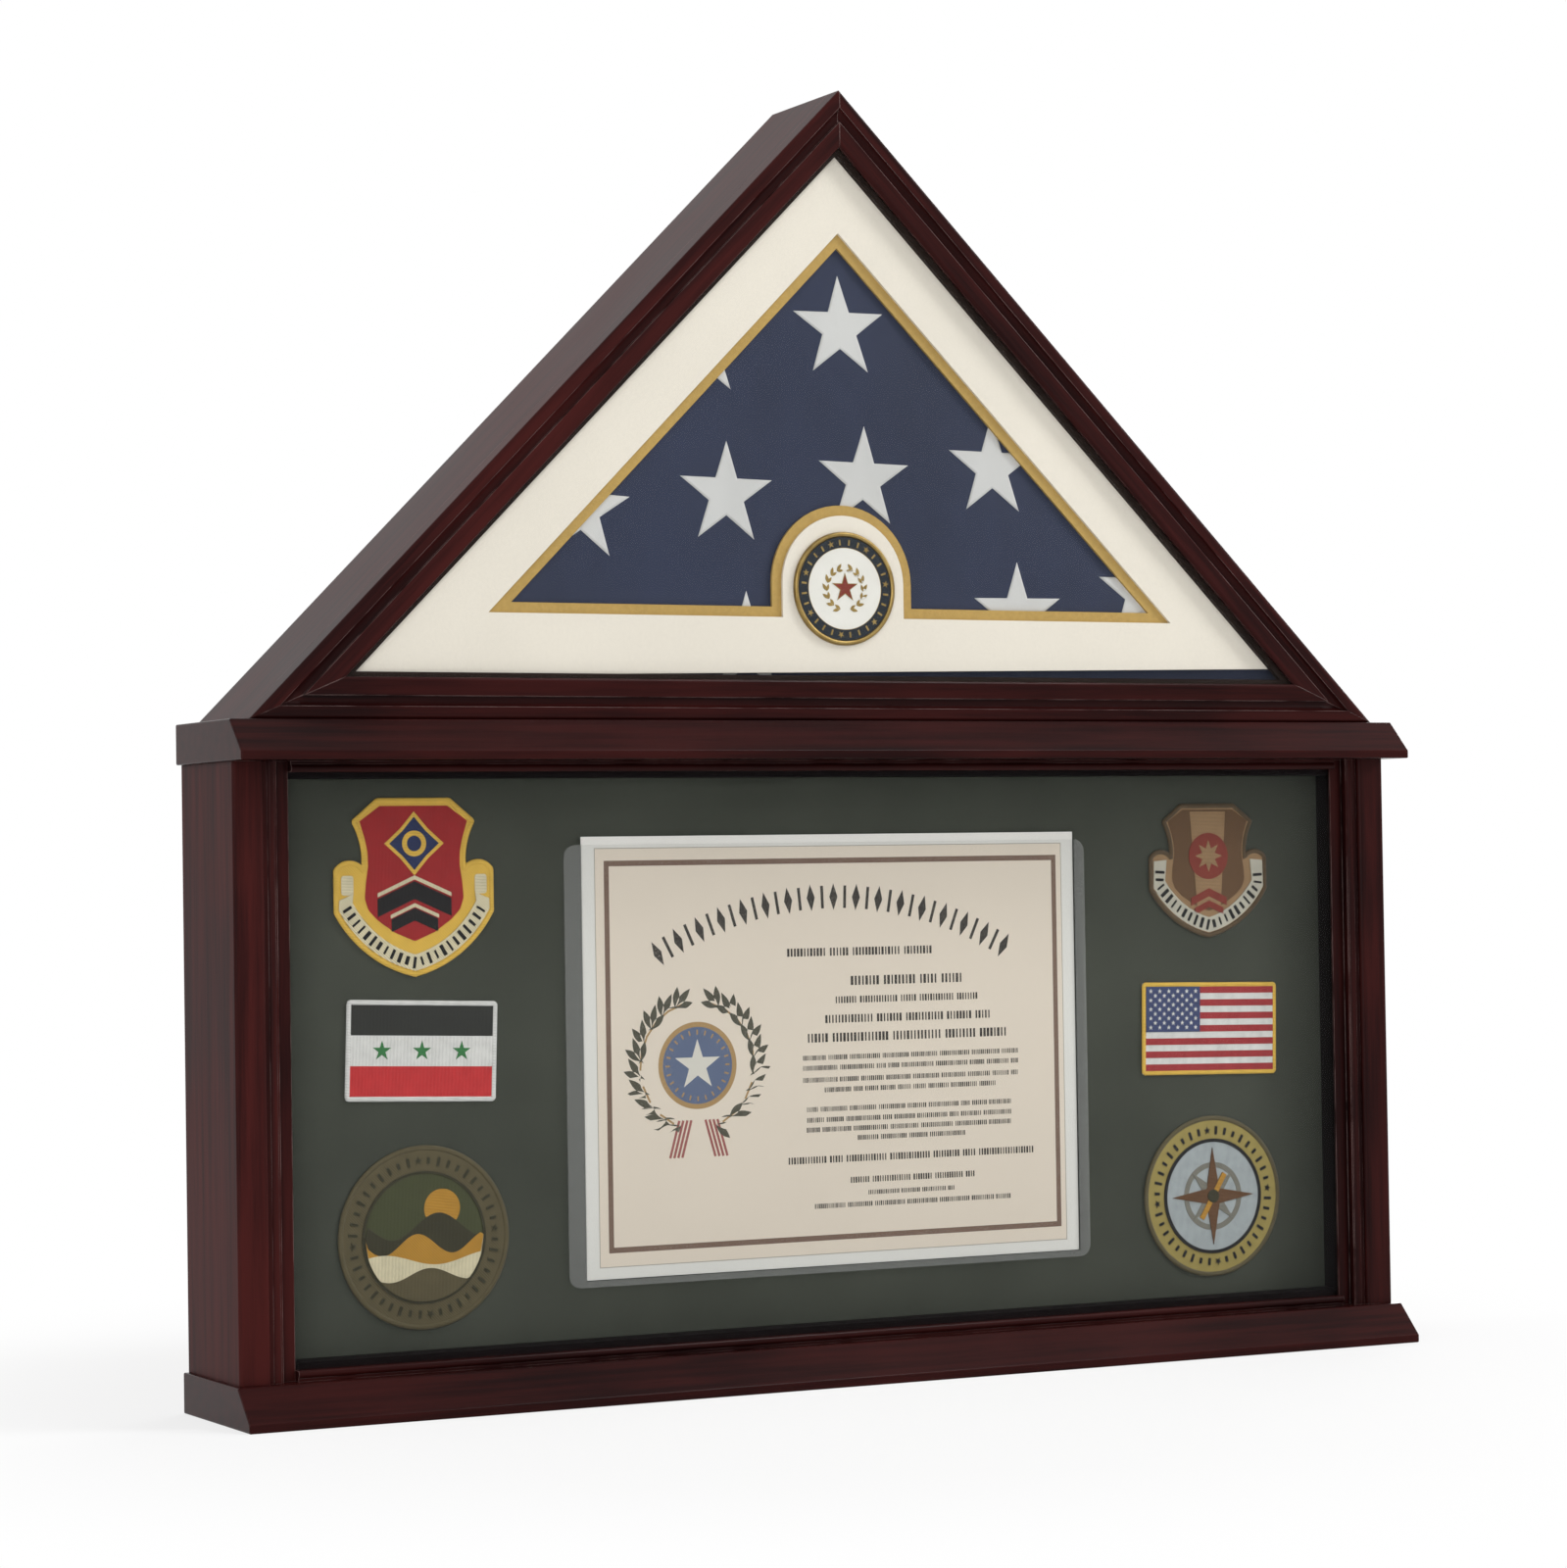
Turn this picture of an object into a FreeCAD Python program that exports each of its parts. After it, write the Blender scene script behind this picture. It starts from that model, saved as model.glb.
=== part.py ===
"""Folded flag display case: a triangular flag case standing on a glazed display case.

Front faces -Y, up is +Z, the origin is the middle of the plinth's underside. Millimetres and degrees.
"""

import FreeCAD, Part

import math
import os

import Sketcher

# Driving sizes. A "reach" is how far a front edge stands ahead of the display case's front face.
SIZES = {
    # plinth and cornice boards
    "body_width": 645.0,
    "body_depth": 71.0,
    "side_height": 288.5,
    "board_thickness": 19.4,
    "board_end_overhang": 2.8,
    "board_top_reach": 4.6,
    "board_lip_reach": 20.0,
    "board_lip_height": 4.1,
    "board_edge_radius": 0.8,
    # side boards
    "side_thickness": 15.5,
    "side_corner_radius": 1.5,
    "side_inner_radius": 2.2,
    # glass stops with a bead, and the liners behind the glass
    # the bead's bow is its radius over half its width
    "stop_setback": 2.6,
    "stop_depth": 5.2,
    "stop_width": 14.0,
    "stop_height": 5.2,
    "stop_quirk": 2.2,
    "stop_bead_width": 3.6,
    "stop_bead_bow": 1.15,
    "stop_fillet": 1.0,
    "stop_step_drop": 4.0,
    "display_glass_thickness": 2.5,
    "glazing_gap": 0.5,
    "liner_width": 9.5,
    "liner_height": 8.0,
    "liner_depth": 15.7,
    # tray: display board, rails and back panel
    "tray_gap": 0.8,
    "seat_gap": 0.3,
    "display_board_thickness": 5.0,
    "tray_rail_thickness": 12.0,
    "panel_thickness": 3.0,
    # certificate in its sleeve
    "sheet_width": 279.4,
    "sheet_height": 215.9,
    "sheet_thickness": 0.4,
    "sheet_shift": 4.6,
    "sheet_drop": 0.25,
    "sheet_slack": 0.1,
    "sleeve_side_left": 9.6,
    "sleeve_side_right": 6.4,
    "sleeve_foot": 3.4,
    "sheet_proud_of_sleeve": 4.0,
    "sleeve_wall": 0.8,
    "sleeve_corner_radius": 6.0,
    # patches, in a column each side of the certificate
    # a "hang" is the share of the free height that lies above a patch
    "patch_thickness": 1.6,
    "left_column_shift": 1.3,
    "right_column_shift": 2.9,
    "left_crest_width": 82.6,
    "left_crest_height": 85.7,
    "left_crest_shift": -2.7,
    "left_crest_top_gap": 9.0,
    "right_crest_width": 73.6,
    "right_crest_height": 70.7,
    "right_crest_shift": 0.8,
    "right_crest_top_gap": 14.5,
    # crest outline, as shares of a crest's width or height
    # the ribbon's bow is the radius of its end over half the width of that end
    "crest_top_share": 0.46,
    "crest_ear_share": 0.76,
    "crest_waist_share": 0.66,
    "crest_ear_rise": 0.88,
    "crest_ribbon_top_rise": 0.60,
    "crest_ribbon_foot_rise": 0.36,
    "crest_foot_bow": 0.75,
    "crest_waist_bow": 0.45,
    "crest_ribbon_bow": 1.2,
    "left_flag_patch_width": 78.0,
    "left_flag_patch_height": 48.5,
    "left_flag_patch_hang": 0.35,
    "right_flag_patch_width": 84.0,
    "right_flag_patch_height": 48.7,
    "right_flag_patch_hang": 0.52,
    "patch_corner_radius": 1.6,
    "left_round_patch_radius": 44.1,
    "left_round_patch_foot_gap": 9.5,
    "right_round_patch_radius": 42.3,
    "right_round_patch_foot_gap": 9.3,
    # flag case
    "roof_span": 629.0,
    "roof_pitch": 45.0,
    "roof_reach": 2.3,
    "roof_thickness": 12.0,
    "rake_width": 20.0,
    "rake_depth": 13.0,
    "rake_edge_radius": 1.6,
    "rake_band_width": 6.2,
    "rake_quirk": 0.7,
    "rake_cove_width": 5.0,
    "rake_cove_depth": 2.3,
    "rake_cove_radius": 3.4,
    "rake_fillet_width": 6.1,
    "rake_fillet_depth": 0.5,
    "rake_slope_depth": 1.6,
    "rake_slope_radius": 3.0,
    "rake_lip_depth": 2.8,
    "flag_glass_thickness": 2.0,
    "spacer_depth": 2.8,
    "spacer_reveal": 2.6,
    "mat_thickness": 1.6,
    "mat_shift": 1.8,
    "mat_foot_rise_left": 8.0,
    "mat_foot_rise_right": 16.0,
    "mat_opening_half_width": 192.5,
    "mat_opening_foot": 51.6,
    "gold_reveal": 5.2,
    "tab_radius": 34.1,
    "tab_middle": 68.6,
    # medallion
    "medallion_radius": 28.4,
    "medallion_drop": 2.5,
    "medallion_thickness": 2.4,
    "medallion_rim_width": 2.4,
    "medallion_face_sink": 0.6,
    "medallion_face_thickness": 1.2,
    # folded flag
    "flag_gap": 2.0,
    "flag_seat_gap": 0.3,
    "flag_edge_roll": 9.0,
    # turn buttons and their pivot screws
    "button_length": 22.0,
    "button_width": 9.0,
    "button_thickness": 1.5,
    "button_hole_radius": 1.6,
    "button_head_gap": 0.15,
    "button_edge_distance": 6.0,
    "pivot_shank_radius": 1.5,
    "pivot_head_radius": 3.2,
    "pivot_head_height": 1.5,
    "pivot_head_rim": 0.5,
    "pivot_head_flat_radius": 1.9,
    "pivot_length": 15.0,
    "pilot_gap": 0.1,
    "side_button_low_rise": 55.6,
    "side_button_high_drop": 102.9,
    "rake_button_low": 130.0,
    "rake_button_high": 310.0,
    # keyhole hangers
    "keyhole_drop": 40.0,
    "keyhole_plate_width": 12.0,
    "keyhole_plate_height": 46.0,
    "keyhole_plate_thickness": 1.5,
    "keyhole_radius": 4.0,
    "keyhole_slot_width": 4.4,
    "keyhole_slot_length": 11.0,
    "keyhole_pocket_width": 10.0,
    "keyhole_pocket_height": 26.0,
    "keyhole_pocket_depth": 8.0,
    "keyhole_screw_inset": 5.0,
    "keyhole_screw_radius": 1.2,
    "keyhole_head_radius": 2.4,
    "keyhole_head_height": 0.8,
    "keyhole_screw_length": 12.0,
    # screws between the boards
    "case_screw_radius": 1.9,
    "case_screw_head_radius": 3.8,
    "case_screw_head_height": 2.2,
    "plinth_screw_length": 45.0,
    "plinth_screw_inset": 18.0,
    "joining_screw_length": 26.0,
    "joining_screw_outer_x": 230.0,
    "joining_screw_inner_x": 80.0,
    # wall bumpers
    "bumper_radius": 5.0,
    "bumper_thickness": 4.0,
    "bumper_inset": 30.0,
}

# Cutters run this far past the faces that they open.
OVERRUN = 2.0
ROUND_ABOUT_X = FreeCAD.Vector(1, 0, 0)
ROUND_ABOUT_Y = FreeCAD.Vector(0, 1, 0)
SQUARE = 90.0
FULL_TURN = 360.0


class Measure:
    """A size with its present value and the sheet expression that gives it."""

    def __init__(self, value, text):
        self.value = value
        self.text = text

    @staticmethod
    def of(number):
        if isinstance(number, Measure):
            return number
        return Measure(float(number), repr(float(number)))

    def __add__(self, other):
        other = Measure.of(other)
        return Measure(self.value + other.value, f"({self.text} + {other.text})")

    def __sub__(self, other):
        other = Measure.of(other)
        return Measure(self.value - other.value, f"({self.text} - {other.text})")

    def __mul__(self, other):
        other = Measure.of(other)
        return Measure(self.value * other.value, f"({self.text} * {other.text})")

    def __truediv__(self, other):
        other = Measure.of(other)
        return Measure(self.value / other.value, f"({self.text} / {other.text})")

    def __neg__(self):
        return Measure(-self.value, f"(-1 * {self.text})")

    def __radd__(self, other):
        return Measure.of(other) + self

    def __rsub__(self, other):
        return Measure.of(other) - self

    def __rmul__(self, other):
        return Measure.of(other) * self

    def __rtruediv__(self, other):
        return Measure.of(other) / self

    @property
    def is_zero(self):
        return self.text == "0.0"


def tangent(angle):
    return Measure(math.tan(math.radians(angle.value)), f"tan({angle.text})")


def cosine(angle):
    return Measure(math.cos(math.radians(angle.value)), f"cos({angle.text})")


def sine(angle):
    return Measure(math.sin(math.radians(angle.value)), f"sin({angle.text})")


class Sizes:
    """The driving sizes by name, each tied to its cell in the sheet."""

    def __init__(self, document, table):
        sheet = document.addObject("Spreadsheet::Sheet", "Sizes")
        for row, (name, value) in enumerate(table.items(), start=1):
            sheet.set(f"A{row}", name)
            sheet.set(f"B{row}", str(value))
            sheet.setAlias(f"B{row}", name)
            setattr(self, name, Measure(value, f"Sizes.{name}"))


doc = FreeCAD.newDocument("flag_display_case")
s = Sizes(doc, SIZES)
doc.recompute()

# Places that many pieces share. Y runs from the front to the back, Z from the floor up.
front_y = (s.board_lip_reach - s.body_depth) / 2
back_y = (s.board_lip_reach + s.body_depth) / 2
cornice_foot_z = s.board_thickness + s.side_height
cornice_top_z = cornice_foot_z + s.board_thickness
half_width = s.body_width / 2
inner_half = half_width - s.side_thickness
stop_face_y = front_y + s.stop_setback
display_glass_y = stop_face_y + s.stop_depth
liner_y = display_glass_y + s.display_glass_thickness
display_board_y = liner_y + s.liner_depth + s.seat_gap
tray_half = inner_half - s.tray_gap
tray_foot_z = s.board_thickness + s.tray_gap
tray_top_z = cornice_foot_z - s.tray_gap
window_half = inner_half - s.liner_width
window_foot_z = s.board_thickness + s.liner_height
window_top_z = cornice_foot_z - s.liner_height
sheet_left_x = s.sheet_shift - s.sheet_width / 2
sheet_right_x = s.sheet_shift + s.sheet_width / 2
sheet_middle_z = (window_foot_z + window_top_z) / 2 - s.sheet_drop
sleeve_left_x = sheet_left_x - s.sleeve_side_left
sleeve_right_x = sheet_right_x + s.sleeve_side_right
panel_back_y = back_y - s.seat_gap
panel_front_y = panel_back_y - s.panel_thickness
roof_front_y = front_y - s.roof_reach
roof_half = s.roof_span / 2
roof_top_z = cornice_top_z + roof_half * tangent(s.roof_pitch)
rake_length = roof_half / cosine(s.roof_pitch)
flag_glass_y = roof_front_y + s.rake_lip_depth
spacer_y = flag_glass_y + s.flag_glass_thickness
cream_mat_y = spacer_y + s.spacer_depth
gold_mat_y = cream_mat_y + s.mat_thickness
flag_front_y = gold_mat_y + s.mat_thickness + s.flag_seat_gap
flag_back_y = panel_front_y - s.flag_seat_gap

nodes = []


def keep(piece, label):
    """Give a finished piece its name and put it on the list of pieces to write."""
    piece.Label = label
    nodes.append(piece)
    return piece


def bind(piece, prop, measure):
    piece.setExpression(prop, Measure.of(measure).text)


def place(piece, x, y, z):
    for axis, measure in zip("xyz", (x, y, z)):
        bind(piece, f"Placement.Base.{axis}", measure)


def turn(piece, axis, degrees):
    piece.Placement = FreeCAD.Placement(FreeCAD.Vector(), FreeCAD.Rotation(axis, degrees))


def block(name, x, y, z):
    """A plain board between a low and a high place on each axis."""
    box = doc.addObject("Part::Box", name)
    for prop, (low, high) in (("Length", x), ("Width", y), ("Height", z)):
        bind(box, prop, Measure.of(high) - low)
    place(box, x[0], y[0], z[0])
    return box


def rod(name, radius, length, axis, degrees):
    """A round bar from its origin along +Z, turned about an axis."""
    cylinder = doc.addObject("Part::Cylinder", name)
    bind(cylinder, "Radius", radius)
    bind(cylinder, "Height", length)
    turn(cylinder, axis, degrees)
    return cylinder


def rod_along_y(name, radius, x, y, z):
    low, high = y
    bar = rod(name, radius, Measure.of(high) - low, ROUND_ABOUT_X, -SQUARE)
    place(bar, x, low, z)
    return bar


def rod_along_z(name, radius, x, y, z):
    low, high = z
    bar = rod(name, radius, Measure.of(high) - low, ROUND_ABOUT_X, 0.0)
    place(bar, x, y, low)
    return bar


def cut(name, piece, cutters):
    """Take the cutters out of a piece."""
    tool = doc.addObject("Part::Compound", f"{name}_cutters")
    tool.Links = cutters
    result = doc.addObject("Part::Cut", f"{name}_cut")
    result.Base = piece
    result.Tool = tool
    return result


def group(name, pieces):
    """Several separate solids under one name."""
    bundle = doc.addObject("Part::Compound", name)
    bundle.Links = pieces
    return bundle


def link(name, master, x, y, z, axis=ROUND_ABOUT_X, degrees=0.0):
    """A copy of a master piece at another place."""
    copy = doc.addObject("App::Link", name)
    copy.LinkedObject = master
    turn(copy, axis, degrees)
    place(copy, x, y, z)
    return copy


def new_body(name):
    return doc.addObject("PartDesign::Body", name)


def new_sketch(body, role, offset, name="outline"):
    """A sketch on one of the body's own planes, moved along the plane's normal."""
    sketch = body.newObject("Sketcher::SketchObject", f"{body.Name}_{name}")
    support = next(plane for plane in body.Origin.OriginFeatures if plane.Role == role)
    sketch.AttachmentSupport = [(support, "")]
    sketch.MapMode = "FlatFace"
    bind(sketch, "AttachmentOffset.Base.z", offset)
    return sketch


def arc_between(start, end, radius, turning):
    """The short arc from start to end, turning left (+1) or right (-1), and its start and end angles."""
    chord = end - start
    across = FreeCAD.Vector(-chord.y, chord.x, 0) / chord.Length
    rise = math.sqrt(radius**2 - (chord.Length / 2) ** 2)
    middle = (start + end) / 2 + across * rise * turning
    circle = Part.Circle(middle, FreeCAD.Vector(0, 0, 1), radius)
    angles = [math.atan2(point.y - middle.y, point.x - middle.x) for point in (start, end)]
    if turning < 0:
        angles.reverse()
    return Part.ArcOfCircle(circle, *angles)


def hold_point(sketch, geometry, point, measure_u, measure_v):
    """Tie a point of the sketch to its two measures from the sketch's origin."""
    for kind, axis, measure in (("DistanceX", -2, measure_u), ("DistanceY", -1, measure_v)):
        if measure.is_zero:
            sketch.addConstraint(Sketcher.Constraint("PointOnObject", geometry, point, axis))
            continue
        row = sketch.addConstraint(Sketcher.Constraint(kind, -1, 1, geometry, point, measure.value))
        bind(sketch, f"Constraints[{row}]", measure)


def draw_outline(sketch, corners, arcs=None):
    """Draw a closed outline. arcs gives the radius and turn of each arc, by the corner that it leaves."""
    arcs = arcs or {}
    corners = [(Measure.of(u), Measure.of(v)) for u, v in corners]
    points = [FreeCAD.Vector(u.value, v.value, 0) for u, v in corners]
    count = len(points)
    first = sketch.GeometryCount
    ends = []
    for number, start in enumerate(points):
        end = points[(number + 1) % count]
        if number in arcs:
            radius, turning = arcs[number]
            sketch.addGeometry(arc_between(start, end, Measure.of(radius).value, turning), False)
            ends.append((1, 2) if turning > 0 else (2, 1))
        else:
            sketch.addGeometry(Part.LineSegment(start, end), False)
            ends.append((1, 2))
    for number in range(count):
        after = (number + 1) % count
        joint = (first + number, ends[number][1], first + after, ends[after][0])
        sketch.addConstraint(Sketcher.Constraint("Coincident", *joint))
    for number, (u, v) in enumerate(corners):
        hold_point(sketch, first + number, ends[number][0], u, v)
    for number, (radius, _) in arcs.items():
        radius = Measure.of(radius)
        row = sketch.addConstraint(Sketcher.Constraint("Radius", first + number, radius.value))
        bind(sketch, f"Constraints[{row}]", radius)


def draw_circle(sketch, u, v, radius):
    u, v, radius = Measure.of(u), Measure.of(v), Measure.of(radius)
    centre = FreeCAD.Vector(u.value, v.value, 0)
    circle = sketch.addGeometry(Part.Circle(centre, FreeCAD.Vector(0, 0, 1), radius.value), False)
    hold_point(sketch, circle, 3, u, v)
    row = sketch.addConstraint(Sketcher.Constraint("Radius", circle, radius.value))
    bind(sketch, f"Constraints[{row}]", radius)


def pad(body, sketch, length):
    feature = body.newObject("PartDesign::Pad", f"{body.Name}_pad")
    feature.Profile = sketch
    bind(feature, "Length", length)
    return feature


def bar_along_x(name, corners, x, arcs=None):
    """A bar whose (y, z) profile runs from one x to another."""
    body = new_body(name)
    sketch = new_sketch(body, "YZ_Plane", x[0])
    draw_outline(sketch, corners, arcs)
    pad(body, sketch, Measure.of(x[1]) - x[0])
    return body


def post_along_z(name, corners, z, arcs=None):
    """A post whose (x, y) profile runs from one z to another."""
    body = new_body(name)
    sketch = new_sketch(body, "XY_Plane", z[0])
    draw_outline(sketch, corners, arcs)
    pad(body, sketch, Measure.of(z[1]) - z[0])
    return body


def sheet_along_y(name, outlines, y, circles=()):
    """A sheet whose (x, z) outlines, the outer one first, run from one y to another."""
    body = new_body(name)
    sketch = new_sketch(body, "XZ_Plane", -Measure.of(y[1]))
    for corners, arcs in outlines:
        draw_outline(sketch, corners, arcs)
    for u, v, radius in circles:
        draw_circle(sketch, u, v, radius)
    pad(body, sketch, Measure.of(y[1]) - y[0])
    return body


def turned(name, profile):
    """A round piece from its (radius, y) half profile, turned about the Y axis."""
    body = new_body(name)
    sketch = new_sketch(body, "XY_Plane", 0.0)
    draw_outline(sketch, profile)
    revolution = body.newObject("PartDesign::Revolution", f"{name}_turning")
    revolution.Profile = sketch
    revolution.ReferenceAxis = (sketch, ["V_Axis"])
    revolution.Angle = FULL_TURN
    return body


def roof_triangle(inset):
    """Foot left, foot right and apex of the roof triangle, moved in from all three sides."""
    half = roof_half - inset / tangent(s.roof_pitch / 2)
    foot = cornice_top_z + inset
    apex = roof_top_z - inset / cosine(s.roof_pitch)
    return (-half, foot), (half, foot), (0, apex)


def triangle_sides(outer, inner):
    """The three mitred strips between two roof triangles, by name."""
    (outer_left, outer_right, outer_top) = outer
    (inner_left, inner_right, inner_top) = inner
    return {
        "left": [outer_left, inner_left, inner_top, outer_top],
        "right": [outer_right, outer_top, inner_top, inner_right],
        "foot": [outer_left, outer_right, inner_right, inner_left],
    }


# Plinth and cornice: the same board, its front sloping out to a lip
def moulded_board(name, foot_z):
    top_z = foot_z + s.board_thickness
    lip_y = front_y - s.board_lip_reach
    profile = [
        (back_y, foot_z),
        (back_y, top_z),
        (front_y - s.board_top_reach, top_z),
        (lip_y, foot_z + s.board_lip_height),
        (lip_y, foot_z),
    ]
    half = half_width + s.board_end_overhang
    board = bar_along_x(name, profile, (-half, half))
    doc.recompute()
    sharp_board = board.Tip
    rounding = board.newObject("PartDesign::Fillet", f"{name}_rounding")
    rounding.Base = (sharp_board, ["Edge1"])
    rounding.UseAllEdges = True
    bind(rounding, "Radius", s.board_edge_radius)
    board.Tip = rounding
    return board


# Turn buttons: where each pivots, which way it lies when parked, and the board that its screw bites into
rake_along_x = cosine(s.roof_pitch)
rake_along_z = sine(s.roof_pitch)
rake_pivot_inset = s.roof_thickness / 2


def rake_pivot(side, along):
    """A point on a roof board's back edge, some way up from its foot. side is -1 left, +1 right."""
    x = roof_half - along * rake_along_x - rake_pivot_inset * rake_along_z
    z = cornice_top_z + along * rake_along_z - rake_pivot_inset * rake_along_x
    return x * side, z


flag_buttons = [
    ("left_roof_board", *rake_pivot(-1, s.rake_button_low), -s.roof_pitch),
    ("left_roof_board", *rake_pivot(-1, s.rake_button_high), -s.roof_pitch),
    ("right_roof_board", *rake_pivot(1, s.rake_button_low), s.roof_pitch - 2 * SQUARE),
    ("right_roof_board", *rake_pivot(1, s.rake_button_high), s.roof_pitch - 2 * SQUARE),
    ("flag_floor_board", Measure.of(0), cornice_top_z + s.roof_thickness / 2, Measure.of(0)),
]
side_pivot_x = half_width - s.side_thickness / 2
side_button_low_z = s.board_thickness + s.side_button_low_rise
side_button_high_z = cornice_foot_z - s.side_button_high_drop
display_buttons = [
    ("left_side_board", -side_pivot_x, side_button_low_z, Measure.of(-SQUARE)),
    ("left_side_board", -side_pivot_x, side_button_high_z, Measure.of(-SQUARE)),
    ("right_side_board", side_pivot_x, side_button_low_z, Measure.of(-SQUARE)),
    ("right_side_board", side_pivot_x, side_button_high_z, Measure.of(-SQUARE)),
    ("cornice_board", Measure.of(0), cornice_foot_z + s.button_edge_distance, Measure.of(0)),
    ("plinth_board", Measure.of(0), s.board_thickness - s.button_edge_distance, Measure.of(0)),
]


def pilot_holes(board_name):
    """Holes in a board's back edge for the pivot screws of its turn buttons."""
    holes = []
    radius = s.pivot_shank_radius + s.pilot_gap
    depth = (back_y - s.pivot_length, back_y + OVERRUN)
    for host, x, z, _ in flag_buttons + display_buttons:
        if host == board_name:
            number = len(holes) + 1
            holes.append(rod_along_y(f"{board_name}_pilot_{number}", radius, x, depth, z))
    return holes


def turn_button(label, x, z, lie):
    """A flat tab that swings on its screw. Its arm points along +X before it is laid at its angle."""
    body = new_body(label)
    sketch = new_sketch(body, "XZ_Plane", -s.button_thickness)
    half = s.button_width / 2
    tip = s.button_length + half
    outline = [
        (0, -half),
        (s.button_length, -half),
        (tip, 0),
        (s.button_length, half),
        (0, half),
        (-half, 0),
    ]
    arcs = {1: (half, 1), 2: (half, 1), 4: (half, 1), 5: (half, 1)}
    draw_outline(sketch, outline, arcs)
    draw_circle(sketch, 0, 0, s.button_hole_radius)
    pad(body, sketch, s.button_thickness)
    turn(body, ROUND_ABOUT_Y, 1.0)
    bind(body, "Placement.Rotation.Angle", lie)
    place(body, x, back_y, z)
    keep(body, label)


def pivot_screw(name):
    """A dome-headed screw along Y, the underside of its head at y = 0."""
    profile = [
        (0, s.pivot_head_height),
        (0, -s.pivot_length),
        (s.pivot_shank_radius, s.pivot_shank_radius - s.pivot_length),
        (s.pivot_shank_radius, 0),
        (s.pivot_head_radius, 0),
        (s.pivot_head_radius, s.pivot_head_rim),
        (s.pivot_head_flat_radius, s.pivot_head_height),
    ]
    return turned(name, profile)


def flat_head_screw(name, shank_radius, head_radius, head_height, length):
    """A countersunk screw along Y, the top of its head at y = 0 and its point at -length."""
    profile = [
        (0, 0),
        (0, -length),
        (shank_radius, -length + shank_radius),
        (shank_radius, -head_height),
        (head_radius, 0),
    ]
    return turned(name, profile)


def countersink(name, screw_radius, head_radius, head_height, depth):
    """The hole that a countersunk screw needs, with a little room, from the surface to a depth."""
    clear = screw_radius + s.pilot_gap
    mouth = head_radius + s.pilot_gap
    profile = [
        (0, OVERRUN),
        (0, -depth),
        (clear, -depth),
        (clear, -head_height),
        (mouth, 0),
        (mouth, OVERRUN),
    ]
    return turned(name, profile)


# Screws through the plinth into the side boards, and through the cornice into the flag case's floor
plinth_screw_rows = (front_y + s.plinth_screw_inset, back_y - s.plinth_screw_inset)
plinth_screw_places = [(side * side_pivot_x, y) for side in (-1, 1) for y in plinth_screw_rows]
joining_y = (front_y + back_y) / 2
joining_screw_places = [
    (side * x, joining_y) for side in (-1, 1) for x in (s.joining_screw_outer_x, s.joining_screw_inner_x)
]


def case_screws(label, places, z, length):
    """Countersunk screws that point up, with their heads flush at a height."""
    sizes = (s.case_screw_radius, s.case_screw_head_radius, s.case_screw_head_height, length)
    master = flat_head_screw(f"{label}_master", *sizes)
    copies = [
        link(f"{label}_{number}", master, x, y, z, ROUND_ABOUT_X, -SQUARE)
        for number, (x, y) in enumerate(places, start=1)
    ]
    keep(group(label, copies), label)


def case_screw_holes(name, places, z, length):
    """Holes for a set of case screws, used on each board that the screws pass."""
    sizes = (s.case_screw_radius, s.case_screw_head_radius, s.case_screw_head_height)
    master = countersink(f"{name}_master", *sizes, length + s.pilot_gap)
    return [
        link(f"{name}_{number}", master, x, y, z, ROUND_ABOUT_X, -SQUARE)
        for number, (x, y) in enumerate(places, start=1)
    ]


def build_boards():
    """Plinth, cornice and side boards of the display case."""
    plinth_screw_z = Measure.of(0)
    joining_screw_z = cornice_foot_z

    plinth = moulded_board("plinth_blank", Measure.of(0))
    holes = case_screw_holes("plinth_hole", plinth_screw_places, plinth_screw_z, s.plinth_screw_length)
    keep(cut("plinth", plinth, pilot_holes("plinth_board") + holes), "plinth_board")

    cornice = moulded_board("cornice_blank", cornice_foot_z)
    holes = case_screw_holes("cornice_hole", joining_screw_places, joining_screw_z, s.joining_screw_length)
    keep(cut("cornice", cornice, pilot_holes("cornice_board") + holes), "cornice_board")

    for side, name in ((-1, "left"), (1, "right")):
        keep(side_board(side, name), f"{name}_side_board")
    case_screws("plinth_screws", plinth_screw_places, plinth_screw_z, s.plinth_screw_length)
    case_screws("joining_screws", joining_screw_places, joining_screw_z, s.joining_screw_length)


def side_board(side, name):
    """A side board with a round front corner, and a pocket for its keyhole hanger in the back edge."""
    outer, inner = half_width * side, inner_half * side
    corner, inner_corner = s.side_corner_radius, s.side_inner_radius
    profile = [
        (outer, back_y),
        (outer, front_y + corner),
        (outer - corner * side, front_y),
        (inner + inner_corner * side, front_y),
        (inner, front_y + inner_corner),
        (inner, back_y),
    ]
    turning = -side
    arcs = {1: (corner, turning), 3: (inner_corner, turning)}
    post = post_along_z(f"{name}_side_blank", profile, (s.board_thickness, cornice_foot_z), arcs)
    middle_x, middle_z = side_pivot_x * side, keyhole_middle_z
    cutters = pilot_holes(f"{name}_side_board")
    cutters += keyhole_pockets(name, middle_x, middle_z)
    places = [(x, y) for x, y in plinth_screw_places if x.value * side > 0]
    cutters += case_screw_holes(f"{name}_side_hole", places, Measure.of(0), s.plinth_screw_length)
    return cut(f"{name}_side", post, cutters)


# Keyhole hangers, let into the side boards' back edges
keyhole_middle_z = cornice_foot_z - s.keyhole_drop
keyhole_entry_drop = s.keyhole_slot_length / 2
keyhole_screw_rise = s.keyhole_plate_height / 2 - s.keyhole_screw_inset


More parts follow.
